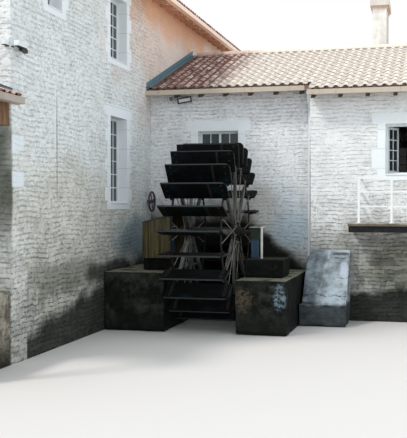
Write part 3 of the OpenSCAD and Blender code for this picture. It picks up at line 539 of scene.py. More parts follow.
def piece(name, shape, material, body="mill", smooth=40, replaces=(), tones=None):
    """The finished object: its mesh, its material, the body that it rides on and what it stands for."""
    mesh = shape if isinstance(shape, bpy.types.Mesh) else mesh_of(shape, name)
    mesh.name = name
    if tones:
        layer = mesh.attributes.new("tone", "FLOAT", "POINT")
        each = len(mesh.vertices) // len(tones)
        layer.data.foreach_set("value", [tone for tone in tones for _ in range(each)])
    if smooth:
        mesh.shade_smooth()
        mesh.set_sharp_from_angle(angle=math.radians(smooth))
    mesh.materials.clear()
    mesh.materials.append(material)
    made = bpy.data.objects.new(name, mesh)
    scene.collection.objects.link(made)
    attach(made, body)
    if replaces:
        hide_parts(*replaces)
    print(name, "has", sum(len(face.vertices) - 2 for face in mesh.polygons), "triangles")
    return made

# %% [markdown]
# ## Canal tiles
# A canal tile is half of a long tapered pipe of fired clay. One layer lies hollow side up and
# leads off the rain, and a second layer covers the gaps between its tiles. A half cone, cut by a
# plane and given its thickness, makes one tile, and nearly three thousand of each are laid up
# the slopes, each turned and shifted a little and each with its own tone from the kiln.

# %% The two tiles and their clay
pitch = 0.2055
gauge = 0.362
tile_long = 0.43
rng = random.Random(7)


def half_pipe(lower, upper, thick, segments, level, long=tile_long):
    """A tapered gutter shape along +Y with its wider end at y = 0: what lies above the level, or
    what lies below it if it is negative."""
    bm = bmesh.new()
    rod(bm, (0, 0, 0), (0, long, 0), lower, upper, segments * 2, caps=False)
    cut(bm, (0, 0, level), (0, 0, 1 if level < 0 else -1))
    outward(bm)
    bmesh.ops.solidify(bm, geom=bm.faces, thickness=thick)
    outward(bm)
    return bm


def settled(bm):
    """The mesh of a shape that is moved down or up until it stands on z = 0."""
    low = min(vert.co.z for vert in bm.verts)
    bmesh.ops.translate(bm, vec=(0, 0, -low), verts=bm.verts)
    return mesh_of(bm)


cover_tile = settled(half_pipe(0.078, 0.066, 0.013, 7, 0.020))
channel_tile = settled(half_pipe(0.090, 0.098, 0.012, 5, -0.046))
print("one cover has", len(cover_tile.vertices), "points and one channel", len(channel_tile.vertices))


def clay(name, shades, lichen=0.35, dirt=0.4, painted_sunlight=0.0):
    tile = Finish(name)
    tone = tile.node("Attribute", {"attribute_name": "tone"}, out="Fac")
    tile.tint = tile.node("ValToRGB", {"stops": shades}, {"Fac": tone}, out="Color")
    spots = tile.cloud(0.06, 5.0, 0.65)
    tile.over(tile.band(spots, 0.52, 0.72) * 0.5, srgb(146, 100, 88))
    pale = tile.spots(0.46, 0.62, 0.10, 6.0, 0.7) * tile.spots(0.30, 0.58, 1.6, 3.0)
    # the tiles farther from the tall house are lightened towards cream as painted sunlight
    sunlit_zone = tile.band(tile.parts()[0] + (tile.cloud(0.5, 3.0) - 0.5) * 0.7, 1.5, 2.5)
    tile.over(sunlit_zone * painted_sunlight, srgb(242, 234, 222))
    tile.over(pale * lichen, srgb(226, 216, 204))
    soot = tile.spots(0.56, 0.74, 0.22, 6.0, 0.7)
    tile.over(soot * dirt, srgb(84, 68, 64))
    relief = tile.cloud(0.02, 4.0, 0.6) * 0.5 + spots * 0.5
    return tile.finish(tile.tint, 0.88, relief, 0.004, Specular_IOR_Level=0.3)


wing_clay = clay("cover_tile_clay", [(0.0, srgb(112, 74, 68)), (0.3, srgb(150, 106, 98)),
    (0.6, srgb(174, 136, 128)), (0.85, srgb(206, 180, 172)), (1.0, srgb(114, 76, 70))], 0.7, 0.4, 0.78)
# the channels' clay is darker than the covers' as painted shade in the troughs
channel_clay = clay("channel_tile_clay",
    [(0.0, srgb(74, 46, 40)), (0.5, srgb(104, 70, 60)), (1.0, srgb(84, 58, 50))], 0.15, 0.45, 0.62)
print("clay is mixed")

# %% [markdown]
# ## Laying the tiles
# The roofs' sizes are the part's own, in metres, and the top of a slab follows from them. A
# slope is given by its eave, the line of its fall and its two ends. Columns of channels go down
# first, then the covers over the gaps between them, both from the eave up, so that each tile
# overlaps the one below by a hand's width and the eave tiles hang over the gutter.

# %% Roof sizes
house_front, house_left, house_rear, river_face = -7.08, -7.225, 8.0, 0.275
wing_right_face, wing_rear, house_roof_front, porch_front = -0.42, 7.44, -7.2, -8.98
house_rise, house_eave, house_top = 0.34, 7.603, 8.878
house_overhang, house_ridge_x = 0.405, -3.475
house_low_x, house_far_x = river_face + house_overhang, house_left - house_overhang
wing_rise, wing_top, wing_ridge_y = 0.353, 6.625, 3.72
eave_left, eave_right, eave_rear = -0.30, -0.72, 7.74
wing_step_x, roof_end = 4.105, 8.505
porch_middle, porch_rise, porch_eave, porch_half = -1.125, 0.38, 4.2, 1.6


def wing_slab(y):
    return wing_top - wing_rise * abs(y - wing_ridge_y)


def house_slab(x):
    over = x - river_face if x > house_ridge_x else house_left - x
    return house_eave - house_rise * over


# %% Tile a slope
def tile_slope(name, origin, along, up_run, rise, covers, channels, run, start=0.0, overhang=0.045):
    """Covers and channels are counted in pitches along the eave from the origin, which lies on the
    slab's top; along and up_run are level directions and rise is the slope's climb per metre."""
    along, up_run = Vector(along), Vector(up_run)
    fall = (up_run + Vector((0, 0, rise))).normalized()
    out = along.cross(fall)
    if out.z < 0:
        out = -out
    side = fall.cross(out)
    frame_of_slope = Matrix((side, fall, out)).transposed().to_4x4()
    reach = run * math.sqrt(1 + rise * rise) - 0.01
    lines = [start - overhang + gauge * row for row in range(int((reach + overhang) / gauge) + 2)]
    lines = [max(-overhang, line) for line in lines if -overhang - gauge < line < reach - 0.09]
    for kind, columns, template, material, height in (
            ("channels", channels, channel_tile, channel_clay, 0.004),
            ("covers", covers, cover_tile, wing_clay, 0.012)):
        places, tones = [], []
        for column in columns:
            tone_run = rng.uniform(-0.12, 0.12)
            for down in lines:
                squeeze = min(1.0, (reach - down) / tile_long)
                places.append(Matrix.Translation(Vector(origin)
                    + along * pitch * column + fall * down + out * height) @ frame_of_slope
                    @ shift(rng.uniform(-0.005, 0.005), rng.uniform(-0.012, 0.004), 0.0)
                    @ Matrix.Rotation(rng.uniform(-0.022, 0.022), 4, "Z") @ shift(0, 0, 0.013)
                    @ turned(-2, "X") @ Matrix.Rotation(rng.uniform(-0.05, 0.05), 4, "Y")
                    @ Matrix.Diagonal((1, squeeze, 1, 1)))
                tones.append(min(1.0, max(0.0, rng.gauss(0.45, 0.2) + tone_run)))
        piece(name + "_" + kind, lay(template, places), material, tones=tones, smooth=50)


def grid(first, last, shift=0.0):
    return [k + shift for k in range(first, last + 1)]


first_row = wing_step_x - 0.01
for name, eave_y, way, covers, channels, start in (
        ("wing_left_tiles", eave_left, 1, grid(-17, 0), grid(-18, -1, 0.5), -0.082),
        ("wing_right_tiles", eave_right, 1, grid(1, 21), grid(0, 20, 0.5), 0.0),
        ("wing_rear_tiles", eave_rear, -1, grid(-17, 21), grid(-18, 20, 0.5), 0.0)):
    tile_slope(name, (first_row, eave_y, wing_slab(eave_y)), (1, 0, 0), (0, way, 0), wing_rise,
        covers, channels, way * (wing_ridge_y - eave_y) - 0.03, start=start)
house_first = house_roof_front + 0.0565
for name, low_x, way in (("house_river_tiles", house_low_x, -1), ("house_left_tiles", house_far_x, 1)):
    tile_slope(name, (low_x, house_first, house_slab(low_x)), (0, 1, 0), (way, 0, 0),
        house_rise, grid(0, 73) + [73.88], grid(0, 73, 0.5), abs(low_x - house_ridge_x) - 0.03)
for name, side in (("porch_left_tiles", -1), ("porch_right_tiles", 1)):
    low_end = (porch_middle + side * (porch_half - 0.04),
        porch_front + 0.025, porch_eave + porch_rise * 0.04)
    tile_slope(name, low_end, (0, 1, 0), (-side, 0, 0), porch_rise,
        [0.27] + grid(1, 8), grid(0, 8, 0.5), 1.53)

# %% [markdown]
# ## Ridges
# Where two slopes meet, wide half-round tiles cover the top ends of the rows. They lie in lime
# mortar, and each overlaps the next, so the ridge looks like a row of short pipes. The mortar
# stops just inside their edge, which leaves a dark arch over each channel.

# %% Ridge tiles and their mortar
ridge_tile_long = 0.42
ridge_step = 0.355
ridge_radius = 0.108
ridge_pipe = mesh_of(half_pipe(0.106, 0.093, 0.014, 11, 0.0, ridge_tile_long))


def ridge_row(start, turn, length, top):
    """Places of ridge tiles from start on; turn is the angle of the row about Z."""
    places = []
    count = int((length - ridge_tile_long) / ridge_step) + 1
    step = (length - ridge_tile_long) / count
    for i in range(count + 1):
        at = Matrix.Rotation(turn, 4, "Z") @ Vector((0, i * step, 0))
        places.append(Matrix.Translation(Vector(start) + at + Vector((0, 0, top - ridge_radius)))
            @ Matrix.Rotation(turn + rng.uniform(-0.012, 0.012), 4, "Z")
            @ Matrix.Rotation(rng.uniform(-0.04, 0.04), 4, "Y"))
    return places


ridge_clay = clay("ridge_tile_clay", [(0.0, srgb(144, 102, 92)),
    (0.4, srgb(184, 146, 134)), (0.75, srgb(210, 184, 172)), (1.0, srgb(130, 90, 80))], 0.6, 0.4, 0.8)
ridge_lift = 0.032 + ridge_radius
ridge_places = ridge_row((house_ridge_x, house_roof_front, 0), 0, 15.32, house_top + ridge_lift)
ridge_places += ridge_row((roof_end, wing_ridge_y, 0),
    math.pi / 2, roof_end - river_face - 0.14, wing_top + ridge_lift)
piece("ridge_pipes", lay(ridge_pipe, ridge_places), ridge_clay,
    replaces=("ridge_tiles",), tones=[rng.uniform(0.1, 0.9) for _ in ridge_places])

mortar = Finish("lime_mortar")
crumbs = mortar.cloud(0.03, 5.0, 0.7)
mortar.finish(mortar.mix(crumbs, srgb(178, 170, 158), srgb(222, 216, 206)), 0.95, crumbs, 0.008)


def roughen(bm, depth, size, seed=0.0, top_depth=None):
    """Wears a shape inwards by up to depth, with hollows of about this size."""
    bm.normal_update()
    moves = []
    for vert in bm.verts:
        wear = 0.5 + 0.5 * noise.fractal((vert.co + Vector((seed, 0, 0))) / size, 1.0, 2.0, 4)
        limit = depth if top_depth is None or vert.normal.z < 0.75 else top_depth
        moves.append((vert, -vert.normal * limit * min(1.0, max(0.0, wear))))
    for vert, move in moves:
        vert.co += move


def slice_up(bm, step):
    """Cuts a shape by planes this far apart along each axis, so that it can be worn."""
    for axis in range(3):
        low = min(vert.co[axis] for vert in bm.verts)
        high = max(vert.co[axis] for vert in bm.verts)
        cuts = int((high - low) / step)
        for i in range(1, cuts + 1):
            at = Vector((0, 0, 0))
            at[axis] = low + (high - low) * i / (cuts + 1)
            way = Vector((0, 0, 0))
            way[axis] = 1
            cut(bm, at, way, clear=False)


beds = bmesh.new()
bed_half = 0.082
box(beds, (house_ridge_x - bed_half, -7.19, 8.84), (house_ridge_x + bed_half, 8.11, 8.915))
box(beds, (river_face + 0.15, wing_ridge_y - bed_half, 6.585),
    (roof_end - 0.01, wing_ridge_y + bed_half, 6.662))
slice_up(beds, 0.12)
roughen(beds, 0.012, 0.15)
piece("ridge_mortar", beds, mortar.material)

# %% [markdown]
# ## Under the tiles
# The tiles rest on boards over rafters. Seen from below, the boards and the rafter ends are what
# shows under each eave: under the tall house's eave they are tinted peach as painted warm light
# reflected from the sunlit wing roof, elsewhere left to go grey. Grain is noise that is stretched
# along the wood, so one function with the direction of the grain serves most of the mill's timber.

# %% Wood
def wood(name, pale, dark, grain_axis, board=0.0, board_axis=0, worn=0.4, rough=0.75, streaks=0.5):
    """Sawn wood with its grain along one axis (0, 1 or 2) and board joints across another."""
    timber = Finish(name)
    stretch = [14.0, 14.0, 14.0]
    stretch[grain_axis] = 0.9
    fine = timber.cloud(0.5, 6.0, 0.65, stretch=tuple(stretch))
    broad = timber.cloud(0.6, 4.0)
    timber.tint = timber.mix(timber.band(fine, 0.36, 0.66), dark, pale)
    timber.over(timber.band(broad, 0.45, 0.7) * worn, tuple(0.5 * c + 0.25 for c in pale))
    damp = timber.spots(0.55, 0.75, 0.25, 5.0, 0.6, stretch=(1, 1, 0.3))
    timber.over(damp * streaks, tuple(c * 0.45 for c in dark))
    height = fine * 0.6
    if board:
        place = timber.parts()[board_axis]
        gap = timber.op("PINGPONG", place, board / 2)
        line = timber.band(gap, 0.007, 0.002)
        timber.over(line * 0.85, tuple(c * 0.12 for c in dark))
        height = height - line * 1.2
    return timber.finish(timber.tint, rough, height, 0.004, Specular_IOR_Level=0.3)


roof_boards = wood("roof_boards", srgb(196, 176, 152), srgb(140, 116, 94), 1, board=0.14, board_axis=0)
# the soffit boards are tinted peach as painted warm light reflected from the sunlit wing roof
soffit_boards = wood("peach_soffit_boards",
    srgb(246, 214, 188), srgb(214, 172, 144), 0, board=0.14, board_axis=1, worn=0.1, streaks=0.15)
# above 7 m the rafter ends are peach, not brown: painted reflected light that also hides the eave's
# shade
rafters = Finish("rafter_wood")
grain = rafters.spots(0.36, 0.66, 0.5, 6.0, 0.65, stretch=(9, 9, 14))
brown = rafters.mix(grain, srgb(66, 52, 42), srgb(120, 98, 78))
peach = rafters.mix(grain, srgb(188, 140, 112), srgb(232, 188, 158))
rafters.finish(rafters.mix(rafters.band(rafters.parts()[2], 7.0, 7.02), brown, peach),
    0.75, grain, 0.003, Specular_IOR_Level=0.2)
floor_wood = wood("floor_boards", srgb(168, 142, 110), srgb(112, 88, 64), 0, board=0.18, board_axis=1)
porch_wood = wood("porch_timber", srgb(150, 118, 86), srgb(92, 66, 46), 2)
paint(roof_boards, "wing_roof_front", "wing_roof_rear", "porch_roof")
paint(soffit_boards, "house_roof")
paint(rafters.material, "rafter_tails")
paint(floor_wood, "floors")
paint(porch_wood, "porch_frame")
print("roof boards, rafters and floors are wood")

# %% [markdown]
# ## Painted metal and zinc
# The low gutters are painted the colour of sand, and the highest has a pale paint tinted peach by
# painted warm light reflected from the sunlit wing roof, like the wall below it. The pipe and the
# railing are white, and the flashings are bare zinc that has gone blue-grey. Dust and dirt run down
# the paint in thin streaks. All but the highest gutter are one recipe with different colours, and
# that gutter's paint changes with its height.

# %% Painted metal
def painted(name, colour, dirt=srgb(112, 98, 84), rough=0.45, amount=0.35, metal=0.0, rust=0.0):
    skin = Finish(name)
    cloudy = skin.cloud(0.35, 5.0)
    skin.tint = skin.mix(cloudy * 0.5, colour, tuple(min(1.0, c * 1.12) for c in colour))
    runs = skin.spots(0.54, 0.72, 0.09, 5.0, 0.65, stretch=(1, 1, 0.2))
    skin.over(runs * amount, dirt)
    if rust:
        eaten = skin.spots(0.56, 0.66, 0.12, 6.0, 0.7)
        skin.over(eaten * rust, skin.mix(skin.cloud(0.03, 3.0), srgb(92, 50, 28), srgb(140, 84, 48)))
        return skin.finish(skin.tint, rough + eaten * 0.25,
            cloudy * 0.3 + eaten * 0.5, 0.003, Specular_IOR_Level=0.2)
    return skin.finish(skin.tint, rough + runs * 0.25, cloudy, 0.002, Metallic=metal)


gutter_paint = painted("sand_gutter_paint", srgb(192, 178, 162), dirt=srgb(108, 94, 82))
white_paint = painted("white_metal_paint", srgb(232, 234, 233), dirt=srgb(150, 146, 138), amount=0.25)
# above 7 m the gutter is tinted peach as painted warm light reflected from the sunlit wing roof
eave = Finish("peach_gutter_paint")
dusty = eave.spots(0.54, 0.72, 0.09, 5.0, 0.65, stretch=(1, 1, 0.2))
high = eave.band(eave.parts()[2], 7.0, 7.02)
eave.finish(eave.mix(high, eave.mix(dusty * 0.4, srgb(176, 164, 152), srgb(104, 90, 80)),
    eave.mix(dusty * 0.3, srgb(255, 224, 202), srgb(158, 122, 102))), 0.5, dusty, 0.002)
zinc = painted("weathered_zinc", srgb(98, 126, 138), dirt=srgb(54, 72, 82), rough=0.55, metal=0.15)
# dark paint, made darker still as painted shade under the slab
dark_steel = painted("dark_beam_paint", srgb(22, 27, 30), dirt=srgb(14, 15, 16), rough=0.7, rust=0.3)
faded_iron = painted("faded_iron_paint", srgb(74, 68, 74), dirt=srgb(44, 42, 46), rough=0.7, rust=0.3)
paint(gutter_paint, "wing_gutters")
paint(eave.material, "house_gutters")
paint(white_paint, "deck_railing")
paint(dark_steel, "deck_beams")
paint(faded_iron, "wall_wheel")
print("gutters, railing, beam and the round fitting are painted")

# %% [markdown]
# ## Gutter brackets and joints
# A gutter is made of lengths that meet in a sleeve, and a flat iron strap holds it at every
# second rafter. They are small, but they give the long pale lines their rhythm.

# %% Straps and sleeves
straps = bmesh.new()
strap_thick = 0.004


def strap_run(x_low, x_high, y_out, y_in, z_low, z_high, step=0.585):
    """Straps and sleeves round a gutter along X whose outer face is at y_out."""
    side = 1 if y_out > y_in else -1
    count = int((x_high - x_low) / step)
    outer = y_out + side * strap_thick
    for i in range(count):
        x = x_low + (i + 0.5) * (x_high - x_low) / count
        shapes = [(-0.012, 0.012, outer, y_in, z_low - strap_thick, z_low),
            (-0.012, 0.012, y_out, outer, z_low, z_high + 0.003)]
        if i % 4 == 2:
            shapes.append((0.16, 0.23, y_out - side * 0.01,
                y_out + side * 0.003, z_low - 0.003, z_high))
        for x0, x1, y0, y1, z0, z1 in shapes:
            box(straps, (x + x0, min(y0, y1), z0), (x + x1, max(y0, y1), z1), 0.001)


gutter_drop, gutter_tall, gutter_wide = 0.115 + 0.015, 0.105, 0.12
for x_low, x_high, eave_y, way in ((0.35, 3.9, eave_left, -1),
        (4.15, 8.45, eave_right, -1), (0.9, 8.45, eave_rear, 1)):
    gutter_z = wing_slab(eave_y) - gutter_drop
    strap_run(x_low, x_high, eave_y + way * gutter_wide, eave_y, gutter_z, gutter_z + gutter_tall)
piece("gutter_straps", straps, gutter_paint)

# %% [markdown]
# ## Windows
# Each window has two leaves, and a leaf of the tallest has two columns and six rows of panes,
# held by slim bars. The frames are CAD solids. The bars are added here as one mesh that stands out
# in front of and behind the glass, together with the sills and the small handles.

# %% Window lists
frame_width = 0.05
win_low_z, win_up_z = 2.57, 5.59
wide, tall_low, tall_up = 1.0, 1.82, 1.33
right_window_x, right_sill, right_tall = 6.245, 3.19, 1.1
house_bay = (house_rear - house_front) / 3
windows = [("right", river_face, y, z, w, h, rows) for y, z, w, h, rows in (
    (-2.185, win_low_z, wide, tall_low, 6), (-2.185, win_up_z, wide, tall_up, 5),
    (-5.415, win_up_z + 0.4, 0.6, 0.8, 3))]
windows += [("front", house_front, x, z, wide, h, rows) for x, z, h, rows in (
    (-5.325, win_low_z, tall_low, 6), (-5.325, win_up_z, tall_up, 5), (-1.125, win_up_z, tall_up, 5))]
windows += [("rear", house_rear, x, win_up_z, wide, tall_up, 5) for x in (-5.325, -1.625)]
windows += [("left", house_left, house_front + house_bay * (i + 0.5), z, wide, h, rows)
    for i in range(3) for z, h, rows in ((win_low_z, tall_low, 6), (win_up_z, tall_up, 5))]
windows += [("front", 0.0, 1.915, 3.15, 0.96, 1.1, 4)]
windows += [("rear", wing_rear, x, right_sill, wide, right_tall, 4) for x in (1.915, right_window_x)]
print(len(windows), "windows with closed leaves")


def wall_matrix(facing, face):
    """Local x runs along the wall, local y into it from its outer face, local z up."""
    turn = {"front": 0, "right": math.pi / 2, "rear": math.pi, "left": -math.pi / 2}[facing]
    move = shift(face, 0, 0) if facing in ("right", "left") else shift(0, face, 0)
    return move @ Matrix.Rotation(turn, 4, "Z")


def along_wall(facing, at):
    """Where a place along the wall lies on local x."""
    return -at if facing in ("rear", "left") else at


# %% Bars, sills and handles
reveal_depth = 0.20
bars = bmesh.new()
sills = bmesh.new()
handles = bmesh.new()


def pane_bars(bm, x0, x1, z0, z1, columns, rows, y0, y1, bar=0.02):
    for i in range(1, columns):
        x = x0 + (x1 - x0) * i / columns
        box(bm, (x - bar / 2, y0, z0), (x + bar / 2, y1, z1))
    for i in range(1, rows):
        z = z0 + (z1 - z0) * i / rows
        box(bm, (x0, y0 + 0.001, z - bar / 2), (x1, y1 - 0.001, z + bar / 2))


for facing, face, at, sill, width, height, rows in windows:
    turn = wall_matrix(facing, face)
    middle = along_wall(facing, at)
    one, glaze, iron = bmesh.new(), bmesh.new(), bmesh.new()
    half = (width - 3 * frame_width) / 2
    for side in (-1, 1):
        x0 = middle + side * (frame_width / 2 + half / 2) - half / 2
        columns = 2 if width > 0.7 else 1
        pane_bars(glaze, x0, x0 + half, sill + frame_width, sill + height - frame_width,
            columns, rows, reveal_depth + 0.013, reveal_depth + 0.047)
    # the sill slopes outwards and has a rounded nose
    box(one, (middle - width / 2, -0.028, sill - 0.012),
        (middle + width / 2, reveal_depth, sill + 0.020), 0.006, 2)
    for vert in one.verts:
        if vert.co.z > sill and vert.co.y < 0.1:
            vert.co.z -= 0.012
    rod(iron, (middle, reveal_depth - 0.03, sill + height * 0.5),
        (middle, reveal_depth, sill + height * 0.5), 0.008, segments=8)
    box(iron, (middle - 0.008, reveal_depth - 0.04, sill + height * 0.5 - 0.07),
        (middle + 0.008, reveal_depth - 0.028, sill + height * 0.5 + 0.02), 0.004)
    for target, source in ((bars, glaze), (sills, one), (handles, iron)):
        carry(source, turn)
        target.from_mesh(mesh_of(source))
window_paint = painted("window_paint",
    srgb(228, 232, 233), dirt=srgb(160, 158, 150), rough=0.5, amount=0.2)
sill_stone = dressed("painted_sills", srgb(236, 239, 240))
piece("glazing_bars", bars, window_paint, smooth=0)
piece("window_sills", sills, sill_stone)
piece("window_handles", handles, dark_steel)
paint(window_paint, "window_frames", "open_casement")

# the glass is near-black and mostly opaque: painted shade of the dark rooms behind
glass = Finish("window_glass")
glass.finish(glass.mix(glass.cloud(0.6, 3.0), (0.022, 0.032, 0.038), (0.05, 0.066, 0.074)),
    0.06 + glass.cloud(0.4) * 0.05, glass.cloud(0.35, 1.0), 0.002, Alpha=0.86, Specular_IOR_Level=0.6)
paint(glass.material, "window_glass")

# %% [markdown]
# ## The open window
# The right-hand window stands open. Its two leaves have swung inwards on their outer edges, each
# with eight panes, so their bars and glass are built flat and then turned with the leaf.

# %% Open leaves
open_bars, open_glass = bmesh.new(), bmesh.new()
leaf_wide, leaf_tall = (wide - 2 * frame_width) / 2, right_tall - 2 * frame_width
for side in (-1, 1):
    bar_set, sheet_set = bmesh.new(), bmesh.new()
    inner = (frame_width, leaf_wide - frame_width, frame_width, leaf_tall - frame_width)
    pane_bars(bar_set, *inner, 2, 4, 0.006, 0.034)
    box(sheet_set, (inner[0], 0.018, inner[2]), (inner[1], 0.022, inner[3]))
    hinge = (shift(right_window_x + side * (wide / 2 - frame_width),
        wing_right_face + reveal_depth + 0.06, right_sill + frame_width)
        @ turned(-side * 62, "Z") @ Matrix.Diagonal((-side, 1, 1, 1)))
    for target, source in ((open_bars, bar_set), (open_glass, sheet_set)):
        carry(source, hinge)
        outward(source)
        target.from_mesh(mesh_of(source))
piece("open_leaf_bars", open_bars, window_paint, smooth=0)
piece("open_leaf_glass", open_glass, glass.material, smooth=0)
right_sill_bm = bmesh.new()
box(right_sill_bm, (right_window_x - wide / 2, wing_right_face - 0.028, right_sill - 0.012),
    (right_window_x + wide / 2, wing_right_face + reveal_depth, right_sill + 0.012), 0.006, 2)
piece("open_window_sill", right_sill_bm, sill_stone)

# %% [markdown]
# ## Wet stone
# The two piers, the bearing blocks and the buttress are always wet. Their stone is rough,
# rounded at its edges and black with damp and moss below. Each starts as a merged copy of its CAD
# solid, is sliced into a grid by planes and is worn inwards, so it never leaves the solid's box.

# %% Weathered copies
def weathered(name, node, material, step, depth, size, top_depth=0.004,
        round_edges=0.03, seed=0.0):
    copy = bmesh.new()
    copy.from_mesh(nodes[node].data)
    bmesh.ops.remove_doubles(copy, verts=copy.verts, dist=0.0005)
    bmesh.ops.dissolve_limit(copy, angle_limit=0.02, verts=copy.verts, edges=copy.edges)
    if round_edges:
        sharp = [edge for edge in copy.edges if edge.is_manifold
            and edge.calc_face_angle() > 0.6 and max(vert.co.z for vert in edge.verts) > 0.02]
        soften(copy, sharp, round_edges, 3, clamp=True)
    slice_up(copy, step)
    bmesh.ops.triangulate(copy, faces=[face for face in copy.faces if len(face.verts) > 4])
    roughen(copy, depth, size, seed, top_depth)
    return piece(name, copy, material, replaces=(node,), smooth=60)


def wet_stone(name, pale, dark, moss, tall=0.2, joints_dark=0.5, wet_line=0.9,
        top_tint=srgb(118, 120, 100), top_light=0.6, blots=(), shown=(0.44, 0.62), painted_side_shade=0.0):
    stone = Finish(name)
    joints, dashes, edge_highlight, grey = courses(stone, long=0.42, tall=tall, waver=1.4, shown=shown)
    z = stone.parts()[2]
    cloudy = stone.cloud(0.45, 8.0, 0.68)
    stone.tint = stone.mix(stone.band(cloudy + grey * 0.08, 0.44, 0.66), dark, pale)
    rusty = stone.spots(0.56, 0.70, 0.28, 6.0, 0.7)
    stone.over(rusty * 0.45, srgb(70, 54, 40))
    growth = stone.spots(0.48, 0.66, 0.17, 6.0, 0.7)
    stone.over(growth * 0.5, moss)
    stone.over(stone.band(joints, 0.2, 0.9) * joints_dark, srgb(12, 13, 12))
    for centre, reach, tint, amount in blots:
        speckle = stone.spots(0.42, 0.58, 0.07, 6.0, 0.75)
        stone.over(stone.blot(centre, reach, 0.8, 0.20) * speckle * amount, tint)
    wet = stone.band(z + (stone.cloud(0.4, 5.0) - 0.5) * 0.7, wet_line, wet_line * 0.25)
    stone.over(wet * 0.72, srgb(17, 19, 17))
    right, _, up = stone.parts(stone.node("TexCoord", out="Normal"))
    # faces turned towards +x are darkened as painted shade
    stone.over(stone.band(right, 0.5, 0.8) * painted_side_shade, srgb(12, 14, 13))
    lit_top = stone.band(up, 0.45, 0.8) * stone.spots(0.34, 0.52, 0.35, 6.0, 0.7)
    stone.over(lit_top * top_light, stone.mix(stone.cloud(0.12, 5.0), moss, top_tint))
    grit = stone.cloud(0.09, 7.0, 0.75)
    stone.over(stone.band(grit, 0.56, 0.68) * 0.5, pale)
    stone.over(stone.band(grit, 0.46, 0.36) * 0.6, srgb(9, 10, 9))
    relief = (1 - joints) * 0.3 + cloudy * 0.7 + grit * 0.6
    return stone.finish(stone.tint, 0.86 - wet * 0.25, relief, 0.03, Specular_IOR_Level=0.12)


pier_stone = wet_stone("pier_stone", srgb(56, 58, 52), srgb(18, 21, 19), srgb(34, 40, 30),
    wet_line=0.6, painted_side_shade=0.8, top_tint=srgb(182, 176, 154), top_light=0.88,
    blots=[((3.88, -3.1, 0.74), (0.18, 1, 0.34), srgb(126, 146, 158), 0.9),
        ((3.14, -3.1, 0.66), (0.30, 1, 0.34), srgb(100, 86, 70), 0.8)])
block_stone = wet_stone("block_stone", srgb(26, 28, 25), srgb(9, 12, 11), srgb(18, 24, 19),
    wet_line=0.5, painted_side_shade=0.4, top_tint=srgb(84, 80, 70), top_light=0.6)
porch_stone = wet_stone("porch_stone", srgb(172, 164, 148), srgb(110, 104, 92), srgb(100, 104, 84),
    wet_line=0.7)
weathered("pier_masonry", "wheel_piers", pier_stone, 0.11, 0.045, 0.45,
    seed=3.0, round_edges=0.035)
weathered("block_masonry", "bearing_blocks", block_stone, 0.09, 0.02, 0.3, seed=5.0)
weathered("porch_steps_stone", "porch_base", porch_stone, 0.3, 0.02, 0.4, seed=9.0)

# %% The buttress's render
coat = Finish("rough_render")
coat_x, _, coat_z = coat.parts()
coat_cloud = coat.cloud(0.42, 7.0, 0.66)
coat.tint = coat.mix(coat.band(coat_cloud, 0.34, 0.66), srgb(118, 127, 133), srgb(186, 197, 204))
rub = coat.cloud(0.22, 7.0, 0.7, stretch=(1, 1, 2.2))
coat.over(coat.band(rub, 0.52, 0.68) * 0.6, srgb(96, 102, 102))
coat.over(coat.band(rub, 0.44, 0.34) * 0.4, srgb(206, 216, 224))
for crack_z, crack_low in ((0.62, 4.05), (1.40, 4.60), (0.98, 4.78)):
    line = (coat.cloud(0.3, 5.0, 0.6) - 0.5) * 0.22 + coat_z - crack_z
    line = coat.op("ABSOLUTE", line)
    inside = (coat.band(coat_x, crack_low - 0.04, crack_low + 0.04)
        * coat.band(coat.cloud(0.16, 3.0), 0.36, 0.5))
    coat.over(coat.band(line, 0.013, 0.003) * inside * 0.85, srgb(48, 50, 48))
# the facet left of the ridge is darkened as painted shade, and the ridge gets a painted highlight
ridge = coat_x - 4.27 - coat_z * 0.2 + (coat.cloud(0.25, 4.0) - 0.5) * 0.10
coat.over(coat.band(ridge, 0.02, -0.10) * 0.65, srgb(206, 210, 212), "MULTIPLY")
ridge_away = coat.op("ABSOLUTE", ridge)
ridge_here = (coat.band(coat_z, 1.72, 1.5) * coat.band(coat_z, 0.62, 0.85)
    * coat.band(coat.cloud(0.12, 4.0), 0.40, 0.56))
coat.over(coat.band(ridge_away, 0.045, 0.005) * ridge_here * 0.4, srgb(214, 222, 228))
# a dark blot near the top is painted shade inside a hollow
hollow = coat.blot((4.80, -0.62, 1.47), (0.26, 0.4, 0.045), 0.8, 0.12)
coat.over(hollow * 0.8, srgb(62, 58, 58))
patch = coat.blot((4.90, -0.85, 1.18), (0.11, 0.5, 0.24), 0.3, 0.2)
coat.over(patch * 0.7, srgb(198, 206, 222))
coat_wet = coat.band(coat_z + (coat.cloud(0.30, 6.0, 0.65) - 0.5) * 0.30, 0.52, 0.40)
coat.over(coat_wet * 0.88, coat.mix(coat.band(rub, 0.4, 0.62), srgb(14, 18, 18), srgb(58, 65, 65)))
coat.finish(coat.tint, 0.88 - coat_wet * 0.3,
    coat_cloud + coat.cloud(0.04, 5.0, 0.7) * 0.5 + rub * 0.4, 0.03, Specular_IOR_Level=0.12)
weathered("buttress_render", "buttress", coat.material, 0.07, 0.05, 0.4,
    top_depth=0.03, round_edges=0.05, seed=1.0)

# %% [markdown]
# ## The wheel's boards
# The wheel is the mill's heart: twenty-four paddles of three tarred boards each, bolted to iron
# brackets on two rims. The right outer corner of each paddle is worn round. One paddle is made
# flat, with z = 0 at its outer edge, and laid around the axle with its lean. Tar, damp and rubbing
# leave the faces black and streaked and the outer edges grey.

# %% One paddle, laid twenty-four times
axle = Vector((2.283, -2.0, 1.98))
wheel_radius, paddle_deep, paddle_thick, half_wide = 1.85, 0.45, 0.032, 0.654
paddle_count = 24
rest_turn = math.radians(-1.9)


